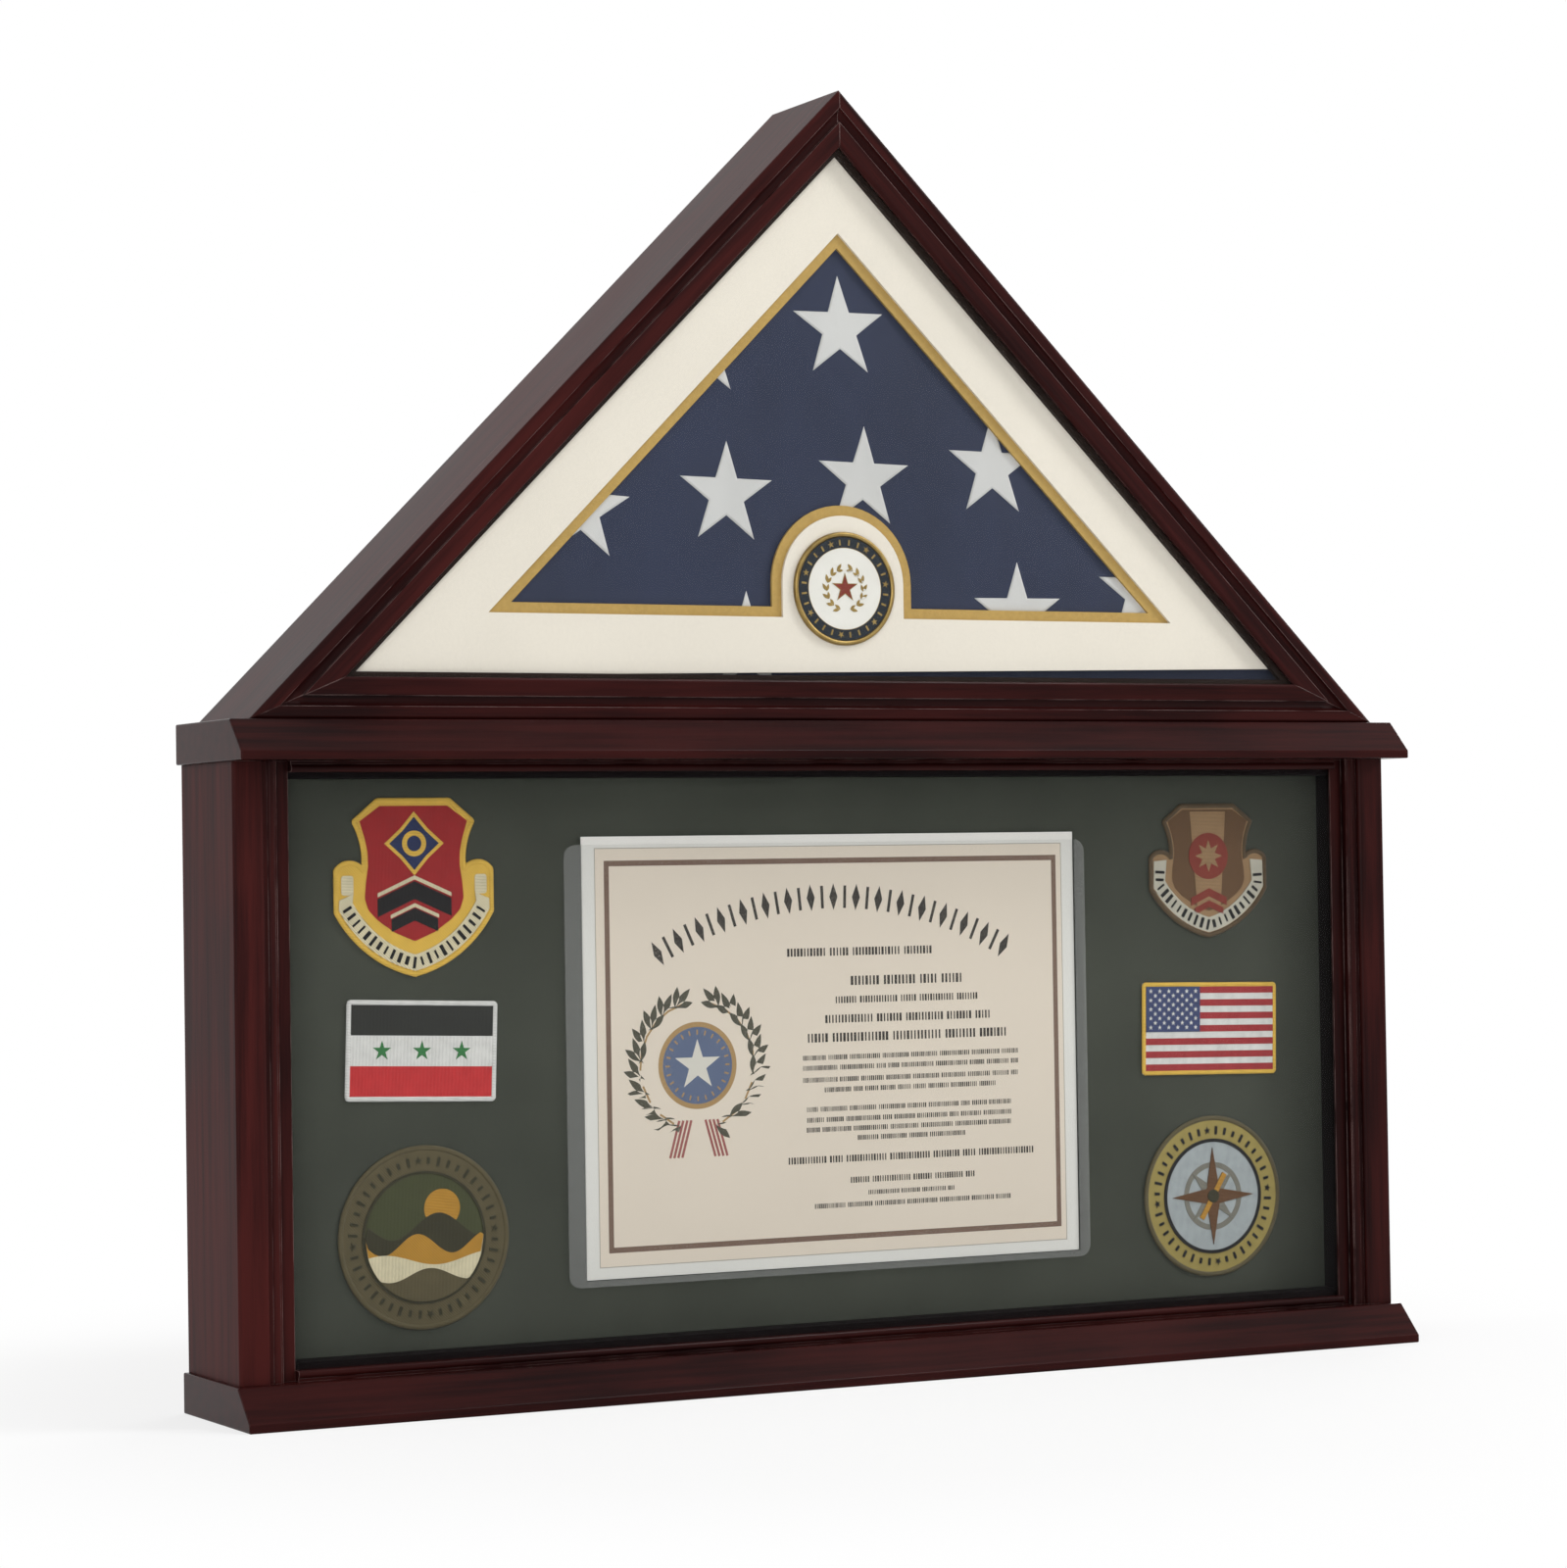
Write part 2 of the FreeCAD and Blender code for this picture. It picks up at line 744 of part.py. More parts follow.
def keyhole_pockets(name, x, z):
    """The recess for a plate, the deeper pocket for the wall screw's head and two pilot holes."""
    cutters = []
    for part, width, height, depth in (
        ("recess", s.keyhole_plate_width, s.keyhole_plate_height, s.keyhole_plate_thickness),
        ("pocket", s.keyhole_pocket_width, s.keyhole_pocket_height, s.keyhole_pocket_depth),
    ):
        room = s.pilot_gap if part == "recess" else Measure.of(0)
        half_x, half_z = width / 2 + room, height / 2 + room
        cutters.append(
            block(
                f"{name}_keyhole_{part}",
                (x - half_x, x + half_x),
                (back_y - depth, back_y + OVERRUN),
                (z - half_z, z + half_z),
            )
        )
    radius = s.keyhole_screw_radius + s.pilot_gap
    depth = (back_y - s.keyhole_screw_length - s.pilot_gap, back_y + OVERRUN)
    for end in (-1, 1):
        hole_name = f"{name}_keyhole_pilot_{'low' if end < 0 else 'high'}"
        cutters.append(rod_along_y(hole_name, radius, x, depth, z + keyhole_screw_rise * end))
    return cutters


def keyhole_plate(name, x, z):
    """A steel plate with a round entry hole, a slot above it and two countersunk screw holes."""
    half_x, half_z = s.keyhole_plate_width / 2, s.keyhole_plate_height / 2
    y = (back_y - s.keyhole_plate_thickness, back_y)
    plate = block(f"{name}_plate_blank", (x - half_x, x + half_x), y, (z - half_z, z + half_z))
    through = (y[0] - OVERRUN, y[1] + OVERRUN)
    entry_z, slot_z = z - keyhole_entry_drop, z + keyhole_entry_drop
    half_slot = s.keyhole_slot_width / 2
    cutters = [
        rod_along_y(f"{name}_keyhole_entry", s.keyhole_radius, x, through, entry_z),
        rod_along_y(f"{name}_keyhole_end", half_slot, x, through, slot_z),
        block(f"{name}_keyhole_slot", (x - half_slot, x + half_slot), through, (entry_z, slot_z)),
    ]
    master = countersink(
        f"{name}_plate_countersink",
        s.keyhole_screw_radius,
        s.keyhole_head_radius,
        s.keyhole_head_height,
        s.keyhole_plate_thickness + OVERRUN,
    )
    for end in (-1, 1):
        hole_name = f"{name}_plate_hole_{'low' if end < 0 else 'high'}"
        cutters.append(link(hole_name, master, x, back_y, z + keyhole_screw_rise * end))
    return cut(f"{name}_plate", plate, cutters)


def build_keyholes():
    plates = []
    screws = []
    sizes = (s.keyhole_screw_radius, s.keyhole_head_radius, s.keyhole_head_height, s.keyhole_screw_length)
    master = flat_head_screw("keyhole_screw_master", *sizes)
    for side, name in ((-1, "left"), (1, "right")):
        x, z = side_pivot_x * side, keyhole_middle_z
        plates.append(keyhole_plate(name, x, z))
        for end in (-1, 1):
            screw_name = f"{name}_keyhole_screw_{'low' if end < 0 else 'high'}"
            screws.append(link(screw_name, master, x, back_y, z + keyhole_screw_rise * end))
    keep(group("keyhole_plates_group", plates), "keyhole_plates")
    keep(group("keyhole_screws_group", screws), "keyhole_screws")


def build_glazing():
    """Beaded stops, glass and dark liners. The upright stops step back inside their bead."""
    back = display_glass_y
    bead_far = s.stop_quirk + s.stop_bead_width
    step_at = bead_far + s.stop_fillet
    step_y = stop_face_y + s.stop_step_drop
    bead_arc = s.stop_bead_width / 2 * s.stop_bead_bow
    z = (s.board_thickness, cornice_foot_z)
    for side, name in ((-1, "left"), (1, "right")):
        profile = [
            (inner_half * side, back),
            (inner_half * side, stop_face_y),
            ((inner_half - s.stop_quirk) * side, stop_face_y),
            ((inner_half - bead_far) * side, stop_face_y),
            ((inner_half - step_at) * side, stop_face_y),
            ((inner_half - step_at) * side, step_y),
            ((inner_half - s.stop_width) * side, step_y),
            ((inner_half - s.stop_width) * side, back),
        ]
        arcs = {2: (bead_arc, side * -1)}
        keep(post_along_z(f"{name}_glass_stop", profile, z, arcs), f"{name}_glass_stop")

    reach = inner_half - s.stop_width
    bead_near = s.stop_height - s.stop_bead_width
    for end, name, seat in ((1, "bottom", s.board_thickness), (-1, "top", cornice_foot_z)):
        profile = [
            (back, seat),
            (stop_face_y, seat),
            (stop_face_y, seat + bead_near * end),
            (stop_face_y, seat + s.stop_height * end),
            (back, seat + s.stop_height * end),
        ]
        arcs = {2: (bead_arc, end * -1)}
        keep(bar_along_x(f"{name}_glass_stop", profile, (-reach, reach), arcs), f"{name}_glass_stop")

    glass_half = inner_half - s.glazing_gap
    glass_z = (s.board_thickness, cornice_foot_z - s.glazing_gap)
    glass = block("display_glass", (-glass_half, glass_half), (display_glass_y, liner_y), glass_z)
    keep(glass, "display_glass")

    y = (liner_y, liner_y + s.liner_depth)
    keep(block("left_liner", (-inner_half, -window_half), y, z), "left_liner")
    keep(block("right_liner", (window_half, inner_half), y, z), "right_liner")
    x = (-window_half, window_half)
    keep(block("bottom_liner", x, y, (s.board_thickness, window_foot_z)), "bottom_liner")
    keep(block("top_liner", x, y, (window_top_z, cornice_foot_z)), "top_liner")


def build_tray():
    """The display board, its rails and the back panel, which draw out together."""
    x = (-tray_half, tray_half)
    z = (tray_foot_z, tray_top_z)
    board_back = display_board_y + s.display_board_thickness
    keep(block("display_board", x, (display_board_y, board_back), z), "display_board")
    rail_y = (board_back, panel_front_y)
    rail_inner = tray_half - s.tray_rail_thickness
    keep(block("left_tray_rail", (-tray_half, -rail_inner), rail_y, z), "left_tray_rail")
    keep(block("right_tray_rail", (rail_inner, tray_half), rail_y, z), "right_tray_rail")
    keep(block("display_back_panel", x, (panel_front_y, panel_back_y), z), "display_back_panel")


def rounded_rectangle(x, z, radius):
    """Corners and arcs of a rectangle with round corners."""
    (left, right), (foot, top) = x, z
    corners = [
        (left + radius, foot),
        (right - radius, foot),
        (right, foot + radius),
        (right, top - radius),
        (right - radius, top),
        (left + radius, top),
        (left, top - radius),
        (left, foot + radius),
    ]
    return corners, {number: (radius, 1) for number in (1, 3, 5, 7)}


def build_certificate():
    """The sheet stands in a clear sleeve that lies on the display board, open at its top."""
    left, right = sheet_left_x, sheet_right_x
    foot = sheet_middle_z - s.sheet_height / 2
    top = sheet_middle_z + s.sheet_height / 2
    sheet_back = display_board_y - s.sleeve_wall - s.sheet_slack
    sheet_front = sheet_back - s.sheet_thickness
    sleeve_front = sheet_front - s.sheet_slack - s.sleeve_wall
    sheet = block("certificate_sheet", (left, right), (sheet_front, sheet_back), (foot, top))
    keep(sheet, "certificate_sheet")

    sleeve_top = top - s.sheet_proud_of_sleeve
    sleeve_z = (foot - s.sleeve_foot, sleeve_top)
    outline = rounded_rectangle((sleeve_left_x, sleeve_right_x), sleeve_z, s.sleeve_corner_radius)
    envelope = sheet_along_y("sleeve_blank", [outline], (sleeve_front, display_board_y))
    pocket = block(
        "sleeve_pocket",
        (left - s.sheet_slack, right + s.sheet_slack),
        (sheet_front - s.sheet_slack, sheet_back + s.sheet_slack),
        (foot, sleeve_top + OVERRUN),
    )
    keep(cut("sleeve", envelope, [pocket]), "certificate_sleeve")


def crest_patch(name, middle_x, middle_z, width, height):
    """A shield patch with a ribbon around its foot. The ribbon's ends stand out at both sides."""
    foot = middle_z - height / 2

    def corner(width_share, rise):
        return middle_x + width * width_share / 2, foot + height * rise

    corners = [
        corner(0, 0),
        corner(1, s.crest_ribbon_foot_rise),
        corner(1, s.crest_ribbon_top_rise),
        corner(s.crest_waist_share, s.crest_ribbon_top_rise),
        corner(s.crest_ear_share, s.crest_ear_rise),
        corner(s.crest_top_share, 1),
        corner(-s.crest_top_share, 1),
        corner(-s.crest_ear_share, s.crest_ear_rise),
        corner(-s.crest_waist_share, s.crest_ribbon_top_rise),
        corner(-1, s.crest_ribbon_top_rise),
        corner(-1, s.crest_ribbon_foot_rise),
    ]
    foot_arc = (width * s.crest_foot_bow, 1)
    ribbon_arc = (width * (1 - s.crest_waist_share) / 4 * s.crest_ribbon_bow, 1)
    waist_arc = (width * s.crest_waist_bow, -1)
    arcs = {0: foot_arc, 2: ribbon_arc, 3: waist_arc, 7: waist_arc, 8: ribbon_arc, 10: foot_arc}
    patch = sheet_along_y(name, [(corners, arcs)], (display_board_y - s.patch_thickness, display_board_y))
    keep(patch, name)


def flag_patch(name, middle_x, middle_z, width, height):
    x = (middle_x - width / 2, middle_x + width / 2)
    z = (middle_z - height / 2, middle_z + height / 2)
    outline = rounded_rectangle(x, z, s.patch_corner_radius)
    y = (display_board_y - s.patch_thickness, display_board_y)
    keep(sheet_along_y(name, [outline], y), name)


def round_patch(name, middle_x, middle_z, radius):
    y = (display_board_y - s.patch_thickness, display_board_y)
    keep(rod_along_y(name, radius, middle_x, y, middle_z), name)


def patch_column(side, middle_x):
    """A crest patch above, a round patch below and a flag patch hung between them."""

    def size(name):
        return getattr(s, f"{side}_{name}")

    crest_height = size("crest_height")
    crest_top = window_top_z - size("crest_top_gap")
    crest_x = middle_x + size("crest_shift")
    crest_z = crest_top - crest_height / 2
    crest_patch(f"{side}_crest_patch", crest_x, crest_z, size("crest_width"), crest_height)

    radius = size("round_patch_radius")
    round_z = window_foot_z + size("round_patch_foot_gap") + radius
    round_patch(f"{side}_round_patch", middle_x, round_z, radius)

    flag_height = size("flag_patch_height")
    crest_foot = crest_top - crest_height
    free_height = crest_foot - round_z - radius - flag_height
    flag_z = crest_foot - free_height * size("flag_patch_hang") - flag_height / 2
    flag_patch(f"{side}_flag_patch", middle_x, flag_z, size("flag_patch_width"), flag_height)


def build_patches():
    patch_column("left", (sleeve_left_x - window_half) / 2 + s.left_column_shift)
    patch_column("right", (sleeve_right_x + window_half) / 2 + s.right_column_shift)


def build_roof_boards():
    """Roof and floor boards of the flag case, mitred to each other, behind the front mouldings."""
    strips = triangle_sides(roof_triangle(Measure.of(0)), roof_triangle(s.roof_thickness))
    y = (roof_front_y + s.rake_depth, back_y)
    for strip, name in (("left", "left_roof_board"), ("right", "right_roof_board")):
        board = sheet_along_y(f"{name}_blank", [(strips[strip], None)], y)
        keep(cut(name, board, pilot_holes(name)), name)
    name = "flag_floor_board"
    board = sheet_along_y(f"{name}_blank", [(strips["foot"], None)], y)
    holes = case_screw_holes("floor_hole", joining_screw_places, cornice_foot_z, s.joining_screw_length)
    keep(cut(name, board, pilot_holes(name) + holes), name)


def rake_moulding(label, length, start_run, end_run, x, z, degrees):
    """A mitred length of the frame moulding.

    It lies along +X with its outer edge at z = 0, its front at y = 0 and its width towards -Z,
    and is then turned about Y and moved to its corner of the roof.
    """
    body = new_body(label)
    band = s.rake_band_width
    cove = band + s.rake_cove_width
    fillet = cove + s.rake_fillet_width
    profile = [
        (s.rake_depth, 0),
        (s.rake_edge_radius, 0),
        (0, -s.rake_edge_radius),
        (0, -band),
        (s.rake_quirk, -band),
        (s.rake_cove_depth, -cove),
        (s.rake_fillet_depth, -cove),
        (s.rake_fillet_depth, -fillet),
        (s.rake_slope_depth, -s.rake_width),
        (s.rake_lip_depth, -s.rake_width),
        (s.rake_lip_depth, -s.roof_thickness),
        (s.rake_depth, -s.roof_thickness),
    ]
    arcs = {1: (s.rake_edge_radius, 1), 4: (s.rake_cove_radius, -1), 7: (s.rake_slope_radius, 1)}
    section = new_sketch(body, "YZ_Plane", 0.0, "section")
    draw_outline(section, profile, arcs)
    pad(body, section, length)

    mitres = new_sketch(body, "XZ_Plane", OVERRUN, "mitres")
    past = OVERRUN / s.rake_width
    inner = -s.rake_width - OVERRUN
    start = [
        (-start_run * past, OVERRUN),
        (-start_run - OVERRUN, OVERRUN),
        (-start_run - OVERRUN, inner),
        (start_run + start_run * past, inner),
    ]
    end = [
        (length + end_run * past, OVERRUN),
        (length - end_run - end_run * past, inner),
        (length + end_run + OVERRUN, inner),
        (length + end_run + OVERRUN, OVERRUN),
    ]
    draw_outline(mitres, start)
    draw_outline(mitres, end)
    mitre_cut = body.newObject("PartDesign::Pocket", f"{label}_mitre_cut")
    mitre_cut.Profile = mitres
    mitre_cut.Type = "ThroughAll"
    turn(body, ROUND_ABOUT_Y, 1.0)
    bind(body, "Placement.Rotation.Angle", degrees)
    place(body, x, roof_front_y, z)
    keep(body, label)


def build_rake_mouldings():
    foot_run = s.rake_width / tangent(s.roof_pitch / 2)
    top_run = s.rake_width * tangent(s.roof_pitch)
    foot_z = cornice_top_z
    half_turn = Measure.of(2 * SQUARE)
    rake_moulding("left_rake_moulding", rake_length, foot_run, top_run, -roof_half, foot_z, -s.roof_pitch)
    rake_moulding("right_rake_moulding", rake_length, top_run, foot_run, 0, roof_top_z, s.roof_pitch)
    rake_moulding("sill_moulding", s.roof_span, foot_run, foot_run, roof_half, foot_z, half_turn)


def mat_outline(bay):
    """Outer edge of the mats: the bay's triangle with its foot cut short and a little aslant."""
    (left_x, foot_z), (right_x, _), top = bay
    left_run = s.mat_foot_rise_left / tangent(s.roof_pitch)
    right_run = s.mat_foot_rise_right / tangent(s.roof_pitch)
    foot_left = (left_x + left_run, foot_z + s.mat_foot_rise_left)
    foot_right = (right_x - right_run, foot_z + s.mat_foot_rise_right)
    return [foot_left, foot_right, top]


def mat_opening(shrink):
    """Outline of a mat's opening: a triangle whose foot rises over a round tab for the medallion."""
    middle = s.mat_shift
    half = s.mat_opening_half_width - shrink / tangent(s.roof_pitch / 2)
    foot = cornice_top_z + s.mat_opening_foot + shrink
    apex = foot + half * tangent(s.roof_pitch)
    radius = s.tab_radius + shrink
    shoulder = cornice_top_z + s.tab_middle
    corners = [
        (middle - half, foot),
        (middle - radius, foot),
        (middle - radius, shoulder),
        (middle, shoulder + radius),
        (middle + radius, shoulder),
        (middle + radius, foot),
        (middle + half, foot),
        (middle, apex),
    ]
    return corners, {2: (radius, -1), 3: (radius, -1)}


def build_flag_stack():
    """Glass, spacers, mats, medallion, folded flag and back panel, from the front to the back."""
    bay = roof_triangle(s.roof_thickness + s.glazing_gap)
    keep(sheet_along_y("flag_glass", [(list(bay), None)], (flag_glass_y, spacer_y)), "flag_glass")

    strips = triangle_sides(bay, roof_triangle(s.rake_width + s.spacer_reveal))
    spacers = (("left", "left_rake_spacer"), ("right", "right_rake_spacer"), ("foot", "sill_spacer"))
    for strip, name in spacers:
        keep(sheet_along_y(name, [(strips[strip], None)], (spacer_y, cream_mat_y)), name)

    cream = [(mat_outline(bay), None), mat_opening(Measure.of(0))]
    keep(sheet_along_y("cream_mat", cream, (cream_mat_y, gold_mat_y)), "cream_mat")
    gold = [(mat_outline(bay), None), mat_opening(s.gold_reveal)]
    gold_back = gold_mat_y + s.mat_thickness
    keep(sheet_along_y("gold_mat", gold, (gold_mat_y, gold_back)), "gold_mat")

    panel = [(list(roof_triangle(s.roof_thickness + s.tray_gap)), None)]
    keep(sheet_along_y("flag_back_panel", panel, (panel_front_y, panel_back_y)), "flag_back_panel")


def build_medallion():
    """A rimmed disc on the cream mat's tab, with its face let into the rim."""
    x = s.mat_shift
    z = cornice_top_z + s.tab_middle - s.medallion_drop
    face_radius = s.medallion_radius - s.medallion_rim_width
    front = cream_mat_y - s.medallion_thickness
    face_y = front + s.medallion_face_sink
    face_back = face_y + s.medallion_face_thickness
    disc = rod_along_y("medallion_disc", s.medallion_radius, x, (front, cream_mat_y), z)
    well = rod_along_y("medallion_well", face_radius, x, (front - OVERRUN, face_back), z)
    keep(cut("medallion", disc, [well]), "medallion_rim")
    face = rod_along_y("medallion_inlay", face_radius - s.pilot_gap, x, (face_y, face_back), z)
    keep(face, "medallion_face")


def build_flag():
    """The folded flag: a triangular bundle whose folded edges roll in at the front and the back."""
    body = new_body("folded_flag")
    wide = s.roof_thickness + s.flag_gap
    narrow = wide + s.flag_edge_roll
    settle = s.flag_gap - s.flag_seat_gap
    sections = (
        (flag_front_y, narrow),
        (flag_front_y + s.flag_edge_roll, wide),
        (flag_back_y - s.flag_edge_roll, wide),
        (flag_back_y, narrow),
    )
    sketches = []
    for number, (y, inset) in enumerate(sections, start=1):
        sketch = new_sketch(body, "XZ_Plane", -y, f"section_{number}")
        draw_outline(sketch, [(x, z - settle) for x, z in roof_triangle(inset)])
        sketches.append(sketch)
    loft = body.newObject("PartDesign::AdditiveLoft", "folded_flag_loft")
    loft.Profile = sketches[0]
    loft.Sections = sketches[1:]
    loft.Ruled = True
    keep(body, "folded_flag")


def build_turn_buttons():
    for family, buttons in (("flag", flag_buttons), ("display", display_buttons)):
        master = pivot_screw(f"{family}_pivot_master")
        head_y = back_y + s.button_thickness + s.button_head_gap
        screws = []
        for number, (_, x, z, lie) in enumerate(buttons, start=1):
            turn_button(f"{family}_turn_button_{number}", x, z, lie)
            screws.append(link(f"{family}_pivot_{number}", master, x, head_y, z))
        keep(group(f"{family}_button_screws_group", screws), f"{family}_button_screws")


def build_bumpers():
    """Rubber bumpers on the back edges of the plinth and the cornice, near their ends."""
    x = half_width - s.bumper_inset
    y = (back_y, back_y + s.bumper_thickness)
    bumpers = []
    for level, foot_z in (("low", Measure.of(0)), ("high", cornice_foot_z)):
        z = foot_z + s.board_thickness / 2
        for side, name in ((-1, "left"), (1, "right")):
            bumpers.append(rod_along_y(f"{level}_{name}_bumper", s.bumper_radius, x * side, y, z))
    keep(group("wall_bumpers_group", bumpers), "wall_bumpers")


def check_document():
    """Stop if any object failed, or any piece is empty or not valid."""
    for piece in doc.Objects:
        bad = {"Invalid", "Error"} & set(piece.State)
        if bad:
            raise RuntimeError(f"{piece.Name} is {sorted(bad)}")
    for piece in nodes:
        shape = piece.Shape
        if shape.isNull() or not shape.isValid() or not shape.Solids:
            raise RuntimeError(f"{piece.Label} has no valid shape")


def write_pieces():
    os.makedirs("parts", exist_ok=True)
    for piece in nodes:
        piece.Shape.exportStep(os.path.join("parts", f"{piece.Label}.step"))
        box = piece.Shape.BoundBox
        size = " x ".join(f"{length:.1f}" for length in (box.XLength, box.YLength, box.ZLength))
        print(f"{piece.Label}: {len(piece.Shape.Solids)} solid, {size} mm")


build_boards()
build_keyholes()
build_glazing()
build_tray()
build_certificate()
build_patches()
build_roof_boards()
build_rake_mouldings()
build_flag_stack()
build_medallion()
build_flag()
build_turn_buttons()
build_bumpers()
doc.recompute()
check_document()
write_pieces()
print(len(nodes), "pieces")
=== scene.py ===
import math
import random

import bpy
from mathutils import Matrix, Vector


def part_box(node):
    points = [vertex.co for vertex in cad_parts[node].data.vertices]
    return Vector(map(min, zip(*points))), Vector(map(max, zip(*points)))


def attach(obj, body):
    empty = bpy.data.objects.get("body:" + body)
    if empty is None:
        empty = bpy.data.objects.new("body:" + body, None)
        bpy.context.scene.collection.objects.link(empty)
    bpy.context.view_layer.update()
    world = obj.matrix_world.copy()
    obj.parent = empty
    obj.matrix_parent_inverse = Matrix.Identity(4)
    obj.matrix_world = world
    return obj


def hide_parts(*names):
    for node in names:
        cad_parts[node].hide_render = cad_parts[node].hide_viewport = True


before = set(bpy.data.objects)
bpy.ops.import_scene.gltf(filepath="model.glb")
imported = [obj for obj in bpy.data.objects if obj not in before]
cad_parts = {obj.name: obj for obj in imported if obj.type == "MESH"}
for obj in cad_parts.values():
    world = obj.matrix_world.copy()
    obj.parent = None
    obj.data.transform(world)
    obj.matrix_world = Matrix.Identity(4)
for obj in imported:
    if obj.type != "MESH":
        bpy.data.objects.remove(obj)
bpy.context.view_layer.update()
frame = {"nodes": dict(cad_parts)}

bl_info = {
    "name": "Folded flag display case",
    "version": (1, 0, 0),
    "blender": (4, 5, 0),
    "location": "View3D > Sidebar > Flag case",
    "description": "Finishes, cloth, print and stitching for a flag case with a display case under it",
    "category": "Object",
}

MM = 0.001
UPRIGHT = Matrix.Rotation(math.pi / 2, 4, "X")
ALONG_X = (1.0, 0.0, 0.0)
ALONG_Z = (0.0, 0.0, 1.0)
UP_LEFT_RAKE = (math.sqrt(0.5), 0.0, math.sqrt(0.5))
UP_RIGHT_RAKE = (-math.sqrt(0.5), 0.0, math.sqrt(0.5))
HALF_CORNER = math.tan(math.radians(22.5))
SMOOTH = 96  # sides of a circle that shows large


def paint(red, green, blue):
    """Scene-linear colour of a paint chip whose parts run from 0 to 255."""
    parts = (part / 255 for part in (red, green, blue))
    return tuple(part / 12.92 if part < 0.04045 else ((part + 0.055) / 1.055) ** 2.4 for part in parts)


def darker(colour, share):
    """A colour brought down to a share of its brightness."""
    return tuple(part * share for part in colour)


def colour_property(name, description, default):
    return bpy.props.FloatVectorProperty(
        name=name, description=description, subtype="COLOR", size=3, min=0.0, max=1.0, default=default
    )


def length_property(name, description, default):
    return bpy.props.FloatProperty(
        name=name, description=description, subtype="DISTANCE", unit="LENGTH", min=0.0, default=default
    )


def share_property(name, description, default):
    return bpy.props.FloatProperty(
        name=name, description=description, subtype="FACTOR", min=0.0, max=1.0, default=default
    )


def power_property(name, description, default):
    return bpy.props.FloatProperty(
        name=name, description=description, subtype="POWER", unit="POWER", default=default
    )


# ---- settings a user would change -------------------------------------------------------------


class WoodSettings(bpy.types.PropertyGroup):
    """The lacquered wood of boards and mouldings."""

    deep: colour_property("Deep tone", "Colour of the dark grain", paint(37, 13, 13))
    warm: colour_property("Warm tone", "Colour of the light grain", paint(72, 27, 25))
    # Worn edge colour: partly real wear, partly a painted highlight along the edges.
    edge: colour_property("Worn edge", "Colour along rubbed edges", paint(164, 138, 134))
    eased: length_property("Eased edge", "Radius that sharp edges are rubbed to", 0.7 * MM)
    # Width of the hollows in which the colour darkens as painted shade.
    hollow_shade: length_property("Hollow", "Width of the hollows in which the stain lies dark", 4.0 * MM)
    gloss: share_property("Roughness", "Roughness of the lacquer", 0.21)


class FlagSettings(bpy.types.PropertyGroup):
    """The folded flag, its stars and the mats around it."""

    field: colour_property("Field", "Colour of the flag's cloth", paint(46, 53, 76))
    star: colour_property("Star", "Colour of the sewn stars", paint(213, 213, 211))
    star_radius: length_property("Star radius", "From a star's middle to its tips", 26.6 * MM)
    crown: length_property("Crown", "How far the bundle swells inside the mat's opening", 1.2 * MM)
    layers: bpy.props.IntProperty(
        name="Layers", description="Folded layers that show along the edges", min=4, max=24, default=12
    )
    cream: colour_property("Outer mat", "Colour of the outer mat board", paint(236, 229, 216))
    gold: colour_property("Inner mat", "Colour of the inner mat board", paint(190, 157, 90))


class PrintSettings(bpy.types.PropertyGroup):
    """The certificate behind its clear sleeve."""

    paper: colour_property("Paper", "Colour of the sheet's margin", paint(240, 238, 233))
    ground: colour_property("Ground", "Colour of the printed ground", paint(240, 227, 211))
    ink: colour_property("Ink", "Colour of the lines of words", paint(52, 46, 42))
    frame: colour_property("Frame", "Colour of the printed frame", paint(124, 98, 84))
    seed: bpy.props.IntProperty(
        name="Seed", description="Seed of the strokes that stand for words", default=11
    )


class StitchSettings(bpy.types.PropertyGroup):
    """The embroidered patches."""

    pitch: length_property("Rib pitch", "Distance between the ribs of an overlocked edge", 1.3 * MM)
    edge_width: length_property("Edge width", "Width of an overlocked edge", 2.8 * MM)
    thread: length_property("Thread", "Distance between neighbouring stitches", 0.7 * MM)
    lift: length_property("Lift", "How far a stitched shape stands off the one under it", 0.18 * MM)


class StageSettings(bpy.types.PropertyGroup):
    """Floor, light and camera."""

    key: power_property("Key lamp", "Power of the large lamp at the upper right", 44.0)
    high: power_property("High lamp", "Power of the lamp overhead that glints on the mouldings", 18.0)
    fill: power_property("Fill lamp", "Power of the lamp at the left", 27.0)
    side: power_property("Side lamp", "Power of the lamp behind the left side", 16.0)
    back: power_property("Back lamp", "Power of the lamp that lights the back", 44.0)
    ambient: share_property("Ambient", "Even light from the room", 0.5)
    lens: bpy.props.FloatProperty(
        name="Lens", description="Focal length of the camera in millimetres", subtype="DISTANCE_CAMERA",
        default=96.263
    )


class CaseSettings(bpy.types.PropertyGroup):
    """All settings of the case."""

    wood: bpy.props.PointerProperty(type=WoodSettings)
    flag: bpy.props.PointerProperty(type=FlagSettings)
    print: bpy.props.PointerProperty(type=PrintSettings)
    stitch: bpy.props.PointerProperty(type=StitchSettings)
    stage: bpy.props.PointerProperty(type=StageSettings)


# ---- finishes ---------------------------------------------------------------------------------


